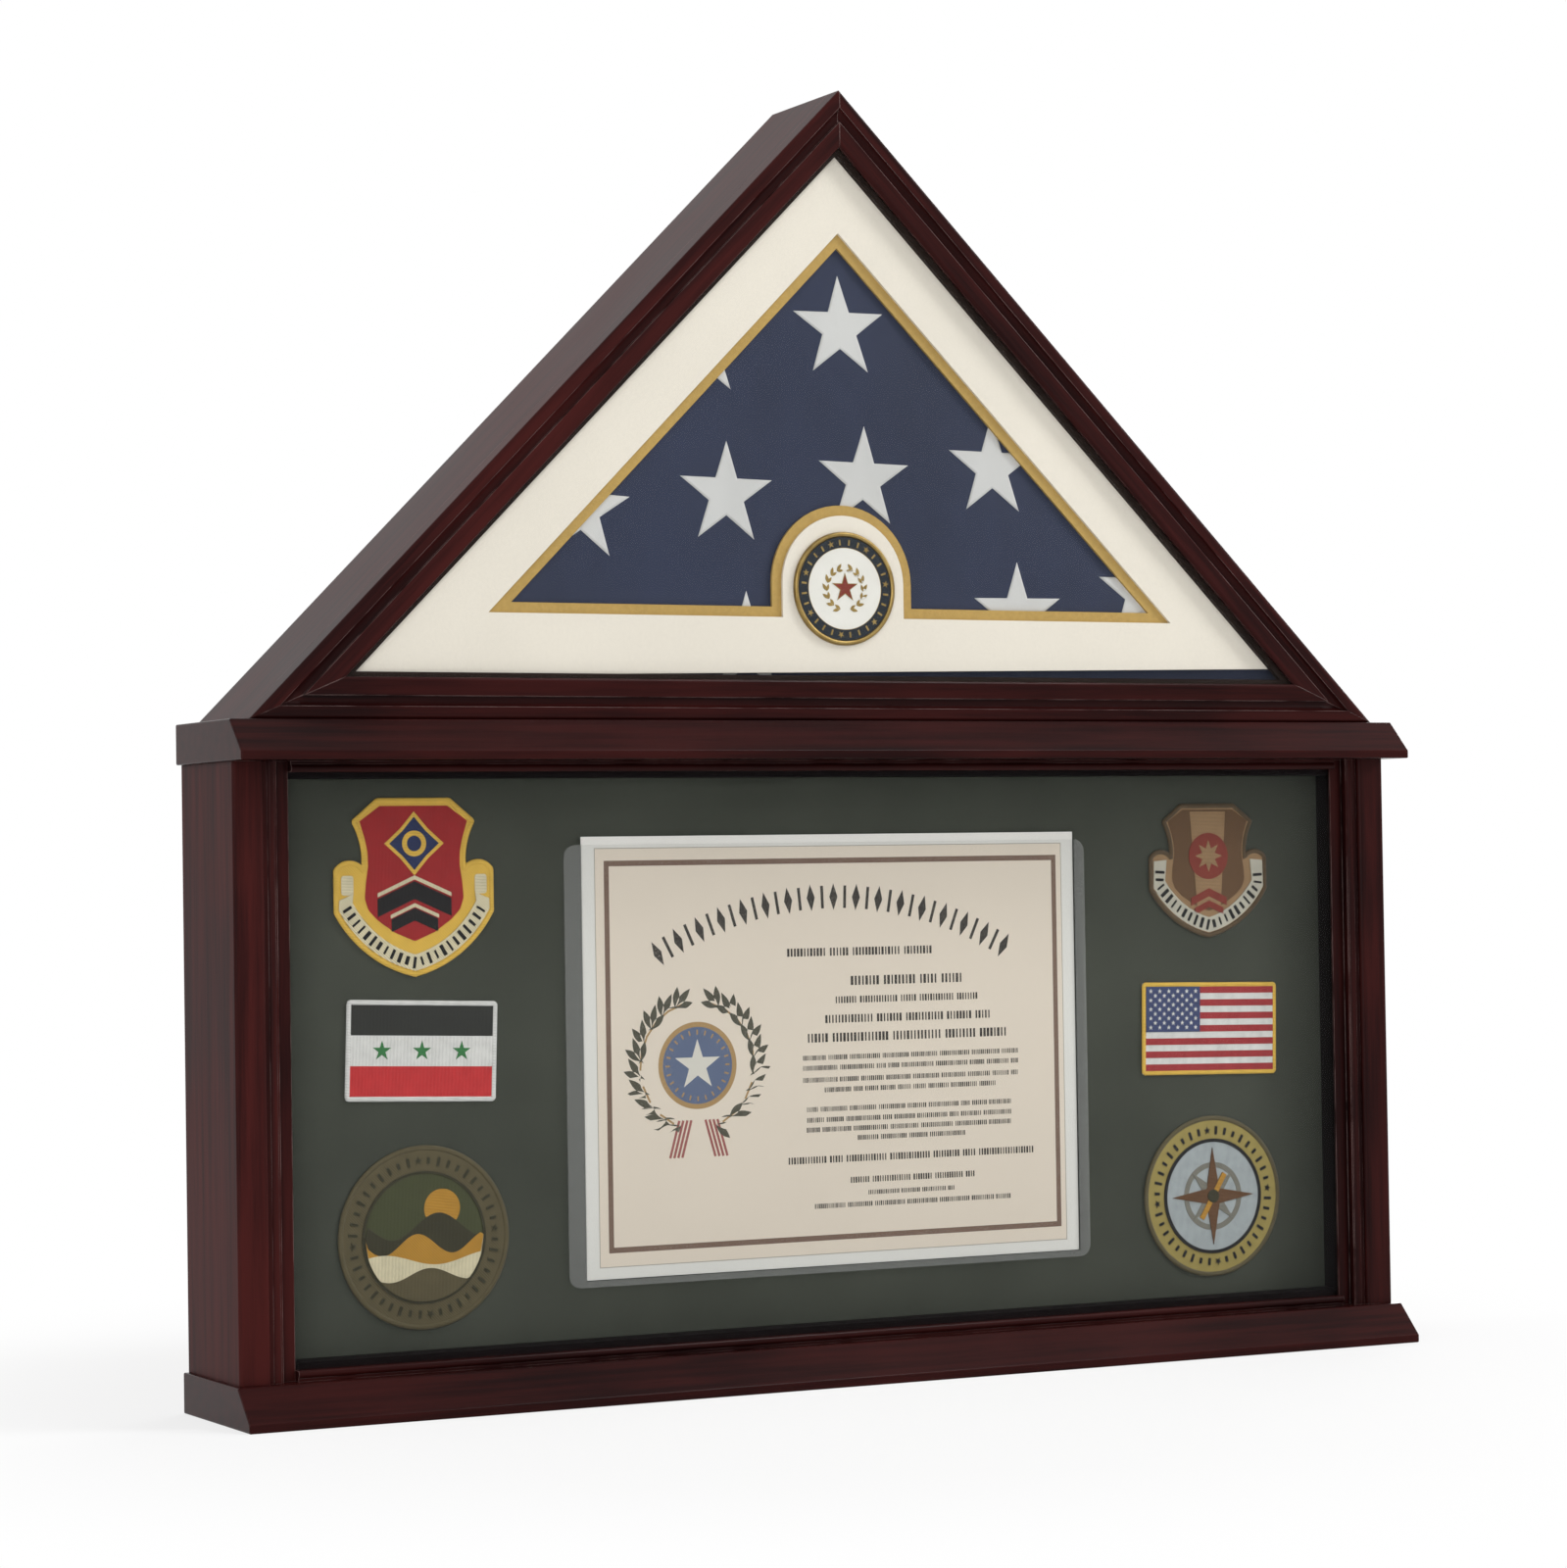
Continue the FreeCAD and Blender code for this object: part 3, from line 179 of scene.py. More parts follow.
class Wire:
    """An output socket in a finish. Sums written with it add Math nodes."""

    def __init__(self, finish, socket):
        self.finish = finish
        self.socket = socket

    def _sum(self, operation, first, second):
        return self.finish.node("ShaderNodeMath", {"operation": operation}, {0: first, 1: second})

    def __add__(self, other):
        return self._sum("ADD", self, other)

    def __radd__(self, other):
        return self._sum("ADD", other, self)

    def __sub__(self, other):
        return self._sum("SUBTRACT", self, other)

    def __rsub__(self, other):
        return self._sum("SUBTRACT", other, self)

    def __mul__(self, other):
        return self._sum("MULTIPLY", self, other)

    def __rmul__(self, other):
        return self._sum("MULTIPLY", other, self)

    def __pow__(self, other):
        return self._sum("POWER", self, other)

    def most(self, other):
        return self._sum("MAXIMUM", self, other)


class Finish:
    """The nodes of one material, or of the world."""

    def __init__(self, owner):
        self.owner = owner
        owner.use_nodes = True
        self.tree = owner.node_tree

    def node(self, kind, settings=None, sockets=None, output=0):
        made = self.tree.nodes.new(kind)
        for name, value in (settings or {}).items():
            setattr(made, name, value)
        for key, value in (sockets or {}).items():
            self.feed(made.inputs[key], value)
        return Wire(self, made.outputs[output])

    def feed(self, socket, value):
        if isinstance(value, Wire):
            self.tree.links.new(value.socket, socket)
        elif socket.type == "RGBA":
            socket.default_value = (*value[:3], 1.0)
        else:
            socket.default_value = value

    def surface(self, values):
        shader = self.tree.nodes["Principled BSDF"]
        for name, value in values.items():
            self.feed(shader.inputs[name], value)
        return self.owner

    def position(self):
        return self.node("ShaderNodeTexCoord", output="Object")

    def looked_at(self):
        """1 for the rays that show a background: the camera's, those through glass and those off gloss."""
        rays = self.node("ShaderNodeLightPath").socket.node.outputs
        kinds = ("Camera", "Transmission", "Glossy")
        camera, through, mirrored = (Wire(self, rays[f"Is {kind} Ray"]) for kind in kinds)
        return camera.most(through).most(mirrored)

    def noise(self, place, scale, detail=2.0, roughness=0.5):
        sockets = {"Vector": place, "Scale": scale, "Detail": detail, "Roughness": roughness}
        return self.node("ShaderNodeTexNoise", None, sockets)

    def vector(self, operation, first, second, output=0):
        return self.node("ShaderNodeVectorMath", {"operation": operation}, {0: first, 1: second}, output)

    def stretched(self, place, scale):
        return self.vector("MULTIPLY", place, scale)

    def mix(self, factor, first, second):
        return self.node("ShaderNodeMix", {"data_type": "RGBA"}, {0: factor, 6: first, 7: second}, 2)

    def step(self, value, low, high):
        """0 below low, 1 above high and a smooth rise between them."""
        sockets = {"Value": value, "From Min": low, "From Max": high}
        return self.node("ShaderNodeMapRange", {"interpolation_type": "SMOOTHSTEP"}, sockets)

    def ribs(self, place, direction, pitch, distortion=0.0):
        """Even ribs along X, Y, Z or the diagonal, a pitch apart."""
        scale = math.pi / 10 / pitch
        sockets = {
            "Vector": place, "Scale": scale, "Distortion": distortion, "Detail": 1.0, "Detail Scale": 1.0
        }
        return self.node("ShaderNodeTexWave", {"bands_direction": direction}, sockets, 1)

    def relief(self, height, strength, distance, normal=None):
        sockets = {"Strength": strength, "Distance": distance, "Height": height}
        if normal is not None:
            sockets["Normal"] = normal
        return self.node("ShaderNodeBump", None, sockets)


def new_finish(name):
    return Finish(bpy.data.materials.new(name))


def lacquered_wood(name, grain, wood, stain_and_shade, satin):
    """Cherry lacquer over straight grain, stained to a share of its colour and duller by satin, with painted
    shade in its hollows and a painted highlight mixed into the wear along its edges.
    """
    finish = new_finish(name)
    place = finish.position()
    along = finish.vector("DOT_PRODUCT", place, grain, 1)
    run = finish.node("ShaderNodeVectorMath", {"operation": "SCALE"}, {0: grain, "Scale": along * 0.96})
    drawn = finish.vector("SUBTRACT", place, run)
    fibre = finish.noise(drawn, 210.0, 4.0, 0.6)
    pores = finish.noise(drawn, 1300.0, 2.0, 0.5)
    cloud = finish.noise(place, 9.0, 2.0, 0.5)
    eased = finish.node("ShaderNodeBevel", {"samples": 6}, {"Radius": wood.eased})
    flat = finish.node("ShaderNodeNewGeometry", output="Normal")
    # Edges lightened towards the worn-edge colour: partly real wear, partly a painted highlight along the
    # arrises.
    wear_and_glint = finish.step(1 - finish.vector("DOT_PRODUCT", eased, flat, 1), 0.015, 0.16)
    wear_and_glint = wear_and_glint * finish.step(finish.noise(place, 55.0, 3.0), 0.3, 0.62) * 0.55
    light = finish.step(fibre * 0.5 + cloud * 0.4 + pores * 0.1, 0.34, 0.66)
    # Part of this darkening is painted shade: the share is set lower on boards that lie in shade.
    deep, warm = darker(wood.deep, stain_and_shade), darker(wood.warm, stain_and_shade)
    tone = finish.mix(light, deep, warm)
    # Painted shade: hollows found by ambient occlusion are darkened towards a quarter of the deep tone.
    nook = {"samples": 6, "only_local": True}
    open_share = finish.node("ShaderNodeAmbientOcclusion", nook, {"Distance": wood.hollow_shade}, "AO")
    hollow_shade = 1 - finish.step(open_share, 0.45, 0.85)
    tone = finish.mix(hollow_shade, tone, darker(deep, 0.25))
    return finish.surface({
        "Base Color": finish.mix(wear_and_glint, tone, wood.edge),
        "Roughness": wood.gloss + satin - 0.06 + cloud * 0.12 + hollow_shade * 0.3,
        "Specular IOR Level": 0.06,
        "Normal": finish.relief(fibre * 0.6 + pores * 0.4, 0.07, 0.4 * MM, eased),
    })


def board_finish(name, colour, shade, grain, roughness, weave=0.05):
    """Paper or fibre board: fine fibres, a faint cloud and a soft surface."""
    finish = new_finish(name)
    place = finish.position()
    fibre = finish.noise(place, grain, 4.0, 0.65)
    cloud = finish.noise(place, 14.0, 2.0)
    tone = finish.step(fibre * 0.6 + cloud * 0.4, 0.3, 0.7)
    return finish.surface({
        "Base Color": finish.mix(tone, shade, colour),
        "Roughness": roughness + (fibre - 0.5) * 0.12,
        "Specular IOR Level": 0.15,
        "Normal": finish.relief(fibre, 0.35, weave * MM),
    })


def clear_finish(name, tint, haze, gain, roughness):
    """Clear sheet: what is behind shows through, under a reflection that grows at a slant."""
    finish = new_finish(name)
    smear = finish.noise(finish.position(), 6.0, 3.0)
    gloss = {"Base Color": tint, "Roughness": roughness + smear * 0.03, "Specular IOR Level": 0.5}
    finish.surface(gloss)
    slant = finish.node("ShaderNodeLayerWeight", None, {"Blend": 0.5}, "Facing")
    through = finish.node("ShaderNodeBsdfTransparent", None, {"Color": (0.99, 0.992, 0.99)})
    shine = Wire(finish, finish.tree.nodes["Principled BSDF"].outputs["BSDF"])
    factor = haze + slant**4.0 * gain
    shown = finish.node("ShaderNodeMixShader", None, {0: factor, 1: through, 2: shine})
    finish.feed(finish.tree.nodes["Material Output"].inputs["Surface"], shown)
    return finish.owner


def metal_finish(name, colour, shade, roughness, scratch):
    """Metal with fine scratches and a dull bloom."""
    finish = new_finish(name)
    place = finish.position()
    lines = finish.noise(finish.stretched(place, (1.0, 1.0, 0.12)), scratch, 3.0, 0.6)
    bloom = finish.noise(place, 90.0, 2.0)
    return finish.surface({
        "Base Color": finish.mix(finish.step(bloom * 0.6 + lines * 0.4, 0.3, 0.7), shade, colour),
        "Metallic": 1.0,
        "Roughness": roughness - 0.08 + lines * 0.1 + bloom * 0.1,
        "Normal": finish.relief(lines, 0.15, 0.04 * MM),
    })


def moulded_finish(name, colour, shade, roughness, gloss=0.5):
    """Moulded rubber or a painted strip with a fine grain."""
    finish = new_finish(name)
    place = finish.position()
    grain = finish.noise(place, 900.0, 3.0)
    cloud = finish.noise(place, 30.0, 2.0)
    return finish.surface({
        "Base Color": finish.mix(cloud, shade, colour),
        "Roughness": roughness + grain * 0.1,
        "Specular IOR Level": gloss,
        "Normal": finish.relief(grain, 0.3, 0.05 * MM),
    })


def woven_finish(name, colour, shade, pitch, sheen):
    """Plain-woven cloth: two sets of threads, painted shade of soft folds and between the threads in its
    colour, and a light sheen.
    """
    finish = new_finish(name)
    place = finish.position()
    warp = finish.ribs(place, "X", pitch, 0.4)
    weft = finish.ribs(place, "Z", pitch, 0.4)
    weave = warp * 0.5 + weft * 0.5
    fold_shade = finish.noise(finish.stretched(place, (1.0, 1.0, 0.55)), 16.0, 3.0, 0.55)
    lint = finish.noise(place, 1400.0, 2.0)
    # Painted shade: the colour darkens towards the shade tone in soft folds and a little between the threads.
    tone = finish.step(fold_shade * 0.75 + lint * 0.1 + weave * 0.15, 0.28, 0.72)
    return finish.surface({
        "Base Color": finish.mix(tone, shade, colour),
        "Roughness": 0.72 + (fold_shade - 0.5) * 0.15,
        "Specular IOR Level": 0.25,
        "Sheen Weight": sheen,
        "Sheen Roughness": 0.4,
        "Normal": finish.relief(weave * 0.5 + lint * 0.5, 0.3, 0.12 * MM),
    })


def thread_finish(name, colour, direction, pitch):
    """Embroidery thread laid side by side, with the gloss of rayon on its ridges and painted shade between
    them.
    """
    known = bpy.data.materials.get(name)
    if known:
        return known
    finish = new_finish(name)
    place = finish.position()
    ridge_and_shade = finish.ribs(place, direction, pitch, 1.2)
    patchy = finish.noise(place, 170.0, 3.0)
    lint = finish.noise(place, 2200.0, 1.0)
    shade = darker(colour, 0.5)
    # Painted shade: besides random patches, the colour darkens between the ridges of the stitches.
    tone = finish.step(ridge_and_shade * 0.45 + patchy * 0.4 + lint * 0.15, 0.12, 0.72)
    return finish.surface({
        "Base Color": finish.mix(tone, shade, colour),
        "Roughness": 0.62 - ridge_and_shade * 0.16,
        "Specular IOR Level": 0.12,
        "Sheen Weight": 0.15,
        "Normal": finish.relief(ridge_and_shade * 0.8 + lint * 0.2, 0.45, 0.16 * MM),
    })


def ink_finish(name, colour, bare, cover):
    """Printed ink that breaks up a little over the paper's fibres."""
    finish = new_finish(name)
    place = finish.position()
    fibre = finish.noise(place, 1500.0, 3.0)
    cloud = finish.noise(place, 40.0, 2.0)
    thin = finish.step(fibre * 0.7 + cloud * 0.3, 0.52, 0.8) * (1 - cover)
    return finish.surface({
        "Base Color": finish.mix(thin, colour, bare),
        "Roughness": 0.62 + fibre * 0.1,
        "Specular IOR Level": 0.1,
        "Normal": finish.relief(fibre, 0.2, 0.02 * MM),
    })


def enamel_finish(name, colour, shade):
    """Hard enamel, level and glossy, with a faint cloud."""
    finish = new_finish(name)
    place = finish.position()
    cloud = finish.noise(place, 120.0, 2.0)
    orange_peel = finish.noise(place, 500.0, 2.0)
    return finish.surface({
        "Base Color": finish.mix(cloud, shade, colour),
        "Roughness": 0.16 + cloud * 0.1,
        "Specular IOR Level": 0.2,
        "Normal": finish.relief(orange_peel, 0.08, 0.05 * MM),
    })


# ---- shapes -----------------------------------------------------------------------------------


def dress(finish, *nodes):
    """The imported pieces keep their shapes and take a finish."""
    for node in nodes:
        for material_slot in frame["nodes"][node].material_slots:
            material_slot.material = finish


def add_piece(name, mesh, finish, body, smooth=False):
    made = bpy.data.objects.new(name, mesh)
    bpy.context.scene.collection.objects.link(made)
    mesh.materials.append(finish)
    mesh.polygons.foreach_set("use_smooth", [smooth] * len(mesh.polygons))
    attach(made, body)
    return made


def mesh_of(name, points, faces):
    mesh = bpy.data.meshes.new(name)
    mesh.from_pydata(points, [], faces)
    mesh.update()
    return mesh


def flat_mesh(name, outlines, back_y, height=0.0, bevel=0.0):
    """A sheet cut to outlines in X and Z, from back_y forward, with eased edges. Inner outlines are holes."""
    curve = bpy.data.curves.new(name, "CURVE")
    curve.dimensions = "2D"
    curve.fill_mode = "BOTH"
    curve.extrude = height / 2 - bevel
    curve.bevel_depth = bevel
    curve.bevel_resolution = 1
    curve.offset = -bevel
    for outline in outlines:
        spline = curve.splines.new("POLY")
        spline.points.add(len(outline) - 1)
        for point, (x, z) in zip(spline.points, outline):
            point.co = (x, z, 0.0, 1.0)
        spline.use_cyclic_u = True
    maker = bpy.data.objects.new(name, curve)
    mesh = bpy.data.meshes.new_from_object(maker)
    bpy.data.objects.remove(maker)
    bpy.data.curves.remove(curve)
    mesh.materials.clear()
    mesh.transform(Matrix.Translation((0.0, back_y - height / 2, 0.0)) @ UPRIGHT)
    return mesh


def lathe_mesh(name, profile, x, z, sides=SMOOTH):
    """A ring or disc turned about a Y axis through x and z, from a profile of radius and y."""
    points, faces = [], []
    count = len(profile)
    for side in range(sides):
        angle = 2 * math.pi * side / sides
        points += [(x + r * math.cos(angle), y, z + r * math.sin(angle)) for r, y in profile]
    for side in range(sides):
        here, there = side * count, (side + 1) % sides * count
        for step in range(count - 1):
            faces.append((here + step, here + step + 1, there + step + 1, there + step))
    return mesh_of(name, points, faces)


def around(x, z, radius, angle):
    """The point at a radius and an angle from x and z."""
    return x + radius * math.cos(angle), z + radius * math.sin(angle)


def turned_about(x, z, offsets, turn):
    """Points at offsets from x and z, turned about it."""
    cosine, sine = math.cos(turn), math.sin(turn)
    return [(x + u * cosine - v * sine, z + u * sine + v * cosine) for u, v in offsets]


def between(start, end, share):
    """The point at a share of the way from start to end."""
    return start[0] + (end[0] - start[0]) * share, start[1] + (end[1] - start[1]) * share


def divided(start, end, count, first=0):
    """Points that part a line into count steps, from the first step on and without the end."""
    (x0, z0), (x1, z1) = start, end
    return [(x0 + (x1 - x0) * step / count, z0 + (z1 - z0) * step / count) for step in range(first, count)]


def star(x, z, radius, turn=0.0, tips=5, waist=0.382):
    points = []
    for step in range(2 * tips):
        reach = radius if step % 2 == 0 else radius * waist
        angle = math.pi / 2 + turn - math.pi * step / tips
        points.append(around(x, z, reach, angle))
    return points


def disc(x, z, radius, sides=64):
    return [around(x, z, radius, 2 * math.pi * side / sides) for side in range(sides)]


def bar(x, z, width, height, turn=0.0):
    corners = ((-0.5, -0.5), (0.5, -0.5), (0.5, 0.5), (-0.5, 0.5))
    return turned_about(x, z, [(u * width, v * height) for u, v in corners], turn)


def rounded_bar(x, z, width, height, radius, steps=6):
    points = []
    quarters = ((1, 1, 0), (-1, 1, 1), (-1, -1, 2), (1, -1, 3))
    for side_x, side_z, quarter in quarters:
        middle_x = x + side_x * (width / 2 - radius)
        middle_z = z + side_z * (height / 2 - radius)
        for step in range(steps + 1):
            points.append(around(middle_x, middle_z, radius, math.pi / 2 * (quarter + step / steps)))
    return points


def leaf(x, z, length, width, turn, steps=7):
    """A pointed leaf that starts at x, z and grows along its turn."""
    edge = [
        (length * step / steps, width / 2 * math.sin(math.pi * step / steps)) for step in range(steps + 1)
    ]
    return turned_about(x, z, edge + [(u, -v) for u, v in reversed(edge[1:-1])], turn)


def arc_points(start, end, radius, turning, steps=10):
    """Points from start towards end on the short arc, turning left (1) or right (-1), without the end."""
    (x0, z0), (x1, z1) = start, end
    chord = math.hypot(x1 - x0, z1 - z0)
    rise = math.sqrt(radius**2 - (chord / 2) ** 2) * turning
    middle_x = (x0 + x1) / 2 - (z1 - z0) / chord * rise
    middle_z = (z0 + z1) / 2 + (x1 - x0) / chord * rise
    first = math.atan2(z0 - middle_z, x0 - middle_x)
    sweep = 2 * math.asin(chord / 2 / radius) * turning
    return [around(middle_x, middle_z, radius, first + sweep * step / steps) for step in range(steps)]


def middle_and_size(node):
    low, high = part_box(node)
    return (low.x + high.x) / 2, (low.z + high.z) / 2, high.x - low.x, high.z - low.z


def evenly_spaced(outline, spacing):
    """Points at even spacing round a closed outline, an even number of them."""
    ends = list(zip(outline, outline[1:] + outline[:1]))
    lengths = [math.dist(a, b) for a, b in ends]
    total = sum(lengths)
    count = 2 * max(6, round(total / spacing / 2))
    points, edge, passed = [], 0, 0.0
    for number in range(count):
        target = total * number / count
        while passed + lengths[edge] < target:
            passed += lengths[edge]
            edge += 1
        points.append(between(*ends[edge], (target - passed) / lengths[edge]))
    return points


def overlocked_edge(name, outline, back_y, height, stitch):
    """A ribbed border of thread wound round the edge of a patch."""
    line = evenly_spaced(outline, stitch.pitch / 2)
    around = 10
    points, faces = [], []
    for number, (x, z) in enumerate(line):
        before, after = line[number - 1], line[(number + 1) % len(line)]
        length = math.dist(before, after)
        along = ((after[0] - before[0]) / length, (after[1] - before[1]) / length)
        swell = 1.0 if number % 2 == 0 else 0.86
        for step in range(around):
            angle = 2 * math.pi * step / around
            across = math.cos(angle) * stitch.edge_width / 2 * swell
            slant = math.cos(angle) * stitch.pitch * 0.35
            up = (math.sin(angle) + 1) / 2 * height * (swell if math.sin(angle) > 0 else 1.0)
            points.append((
                x + along[1] * across + along[0] * slant,
                back_y - up,
                z - along[0] * across + along[1] * slant,
            ))
    for number in range(len(line)):
        here, there = number * around, (number + 1) % len(line) * around
        for step in range(around):
            following = (step + 1) % around
            faces.append((here + step, here + following, there + following, there + step))
    return mesh_of(name, points, faces)


def shrunk(outline, middle, inset):
    """An outline drawn in by about inset towards a point inside it."""
    return [between(middle, point, 1 - inset / math.dist(point, middle)) for point in outline]


def islands(node):
    """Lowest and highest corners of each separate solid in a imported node."""
    mesh = frame["nodes"][node].data
    home = {}
    leader = []

    def head(number):
        while leader[number] != number:
            number = leader[number]
        return number

    numbers = []
    for vertex in mesh.vertices:
        key = tuple(round(part, 6) for part in vertex.co)
        if key not in home:
            home[key] = len(leader)
            leader.append(len(leader))
        numbers.append(home[key])
    for polygon in mesh.polygons:
        first = head(numbers[polygon.vertices[0]])
        for vertex in polygon.vertices[1:]:
            leader[head(numbers[vertex])] = first
    found = {}
    for key, number in home.items():
        found.setdefault(head(number), []).append(key)
    return [
        (Vector(min(part) for part in zip(*keys)), Vector(max(part) for part in zip(*keys)))
        for keys in found.values()
    ]


# ---- the folded flag --------------------------------------------------------------------------

MAT_MIDDLE = 1.8 * MM
MAT_FOOT = 384.1 * MM
MAT_HALF = 179.9 * MM
TAB_MIDDLE = 395.9 * MM
TAB_RADIUS = 39.3 * MM
# middles of the stars that show, in mm, with their turns in degrees
STARS = (
    (3.0, 523.9, 0.6), (-61.4, 439.0, -1.0), (15.6, 448.8, -1.1), (90.3, 456.7, -0.6), (-139.5, 429.9, -3.5),
    (104.2, 382.4, 0.5), (-73.5, 512.8, 0.0), (178.6, 394.3, 0.0), (-50.9, 365.1, 0.0),
)
# creases of the last folds: a point on the line in mm, its turn in degrees and its depth in mm
CREASES = ((-0.7, 540.2, 3.0, 0.35), (-110.4, 429.5, 83.0, 0.25), (63.2, 419.5, 128.0, 0.22))


def smooth_step(value, low, high):
    share = min(1.0, max(0.0, (value - low) / (high - low)))
    return share * share * (3 - 2 * share)


def flag_front(x, z, front_y, crown):
    """Y of the bundle's front: pressed flat under the mats, swelling and creased inside their opening."""
    to_foot = z - MAT_FOOT
    to_side = (MAT_HALF - abs(x - MAT_MIDDLE) - to_foot) * math.sqrt(0.5)
    to_tab = math.hypot(x - MAT_MIDDLE, max(0.0, z - TAB_MIDDLE)) - TAB_RADIUS
    free = smooth_step(min(to_foot, to_side, to_tab), 2 * MM, 34 * MM)
    wave = 0.16 * math.sin(x * 47 + z * 29) + 0.12 * math.sin(x * 23 - z * 61 + 1.3)
    pressed = 0.0
    for line_x, line_z, turn, depth in CREASES:
        angle = math.radians(turn)
        off = (x - line_x * MM) * -math.sin(angle) + (z - line_z * MM) * math.cos(angle)
        pressed += depth * MM * math.exp(-((off / (2.2 * MM)) ** 2))
    return front_y - free * (crown * (0.85 + wave) - pressed)


def bundle_outline(inset, foot, half, middle, corner):
    """The bundle's triangle, drawn in by inset, with rounded corners."""
    base = half - inset / HALF_CORNER
    low = foot + inset
    corners = [(middle - base, low, 45), (middle + base, low, 45), (middle, low + base, 90)]
    arcs = []
    counts = (64, 48, 48)
    for number, (x, z, opening) in enumerate(corners):
        reach = corner / math.sin(math.radians(opening / 2))
        towards = math.radians((22.5, 157.5, 270.0)[number])
        middle_of_arc = around(x, z, reach, towards)
        sweep = 180 - opening
        first = math.radians((135.0, 270.0, 45.0)[number])
        arc = [first + math.radians(sweep * step / 8) for step in range(9)]
        arcs.append([around(*middle_of_arc, corner, angle) for angle in arc])
    outline = []
    for number, arc in enumerate(arcs):
        outline += arc + divided(arc[-1], arcs[(number + 1) % 3][0], counts[number], 1)
    return outline


def bundle_mesh(flag):
    """Layers of folded cloth between a creased front and a flat back."""
    low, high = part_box("folded_flag")
    middle = (low.x + high.x) / 2
    half = (high.x - low.x) / 2
    roll = 9 * MM
    depth = high.y - low.y
    corner = 3 * MM
    rings = []

    def outline(inset):
        return bundle_outline(inset, low.z, half, middle, corner)

    eye = half * HALF_CORNER
    for step in range(1, 31):
        inset = roll + (eye * 0.985 - roll) * (1 - step / 30)
        whole = inset < eye - 2 * corner - 1 * MM
        ring = outline(inset) if whole else shrunk_ring(outline, inset, eye, corner)
        rings.append([(x, flag_front(x, z, low.y, flag.crown), z) for x, z in ring])
    steps = 8 * flag.layers
    for step in range(1, steps):
        share = step / steps
        y = low.y + depth * share
        end = min(share, 1 - share) * depth / roll
        bend = 1 - math.sqrt(max(0.0, 1 - (1 - min(1.0, end)) ** 2))
        layer = abs(math.sin(math.pi * share * flag.layers))
        inset = roll * bend + 1.5 * MM * (1 - math.sqrt(layer))
        rings.append([(x, y, z) for x, z in outline(min(inset, roll))])
    rings.append([(x, high.y, z) for x, z in outline(roll)])
    count = len(rings[0])
    points = [point for ring in rings for point in ring]
    faces = []
    for ring in range(len(rings) - 1):
        here, there = ring * count, (ring + 1) * count
        for step in range(count):
            following = (step + 1) % count
            faces.append((here + step, there + step, there + following, here + following))
    faces.append(tuple(range(count)))
    faces.append(tuple(reversed(range(len(points) - count, len(points)))))
    return mesh_of("folded_flag_bundle", points, faces)


def shrunk_ring(outline, inset, eye, corner):
    """Innermost rings: the last rounded triangle scaled towards its middle."""
    last_inset = eye - 2 * corner - 1 * MM
    ring = outline(last_inset)
    middle = sum(x for x, _ in ring) / len(ring), sum(z for _, z in ring) / len(ring)
    share = max(0.02, (eye - inset) / (eye - last_inset))
    return [between(middle, point, share) for point in ring]


def star_mesh(flag):
    """Sewn stars that lie on the bundle's creased front."""
    low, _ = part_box("folded_flag")
    rings = 6
    proud = 0.14 * MM
    points, faces = [], []
    for star_x, star_z, turn in STARS:
        x, z = star_x * MM, star_z * MM
        corners = star(x, z, flag.star_radius, math.radians(turn))
        outline = []
        for ends in zip(corners, corners[1:] + corners[:1]):
            outline += divided(*ends, 5)
        start = len(points)
        count = len(outline)
        points.append((x, flag_front(x, z, low.y, flag.crown) - proud, z))
        for ring in range(1, rings + 1):
            for point in outline:
                at_x, at_z = between((x, z), point, ring / rings)
                points.append((at_x, flag_front(at_x, at_z, low.y, flag.crown) - proud, at_z))
        skirt = len(points)
        for edge_x, edge_z in outline:
            points.append((edge_x, flag_front(edge_x, edge_z, low.y, flag.crown) + 0.05 * MM, edge_z))
        for step in range(count):
            following = (step + 1) % count
            faces.append((start, start + 1 + step, start + 1 + following))
            for ring in range(rings):
                here = start + 1 + ring * count
                there = skirt if ring == rings - 1 else here + count
                faces.append((here + step, there + step, there + following, here + following))
    return mesh_of("flag_stars", points, faces)


class FLAGCASE_OT_lay_flag(bpy.types.Operator):
    """Fold the flag into its triangle, sew on the stars and colour the two mats"""

    bl_idname = "flagcase.lay_flag"
    bl_label = "Lay flag and mats"

    def execute(self, context):
        flag = context.scene.flag_case.flag
        cloth = woven_finish("navy_cloth", flag.field, darker(flag.field, 0.72), pitch=0.5 * MM, sheen=0.12)
        bundle = add_piece("folded_flag_bundle", bundle_mesh(flag), cloth, "case", True)
        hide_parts("folded_flag")
        star_cloth = woven_finish("star_cloth", flag.star, darker(flag.star, 0.8), pitch=0.45 * MM, sheen=0.1)
        add_piece("flag_stars", star_mesh(flag), star_cloth, "case", True)
        cream = board_finish("cream_board", flag.cream, darker(flag.cream, 0.93), grain=700.0, roughness=0.85)
        dress(cream, "cream_mat")
        gold = board_finish("gold_board", flag.gold, darker(flag.gold, 0.82), grain=500.0, roughness=0.5)
        dress(gold, "gold_mat")
        return {"FINISHED"}


# ---- wood, glass, boards and hardware ---------------------------------------------------------


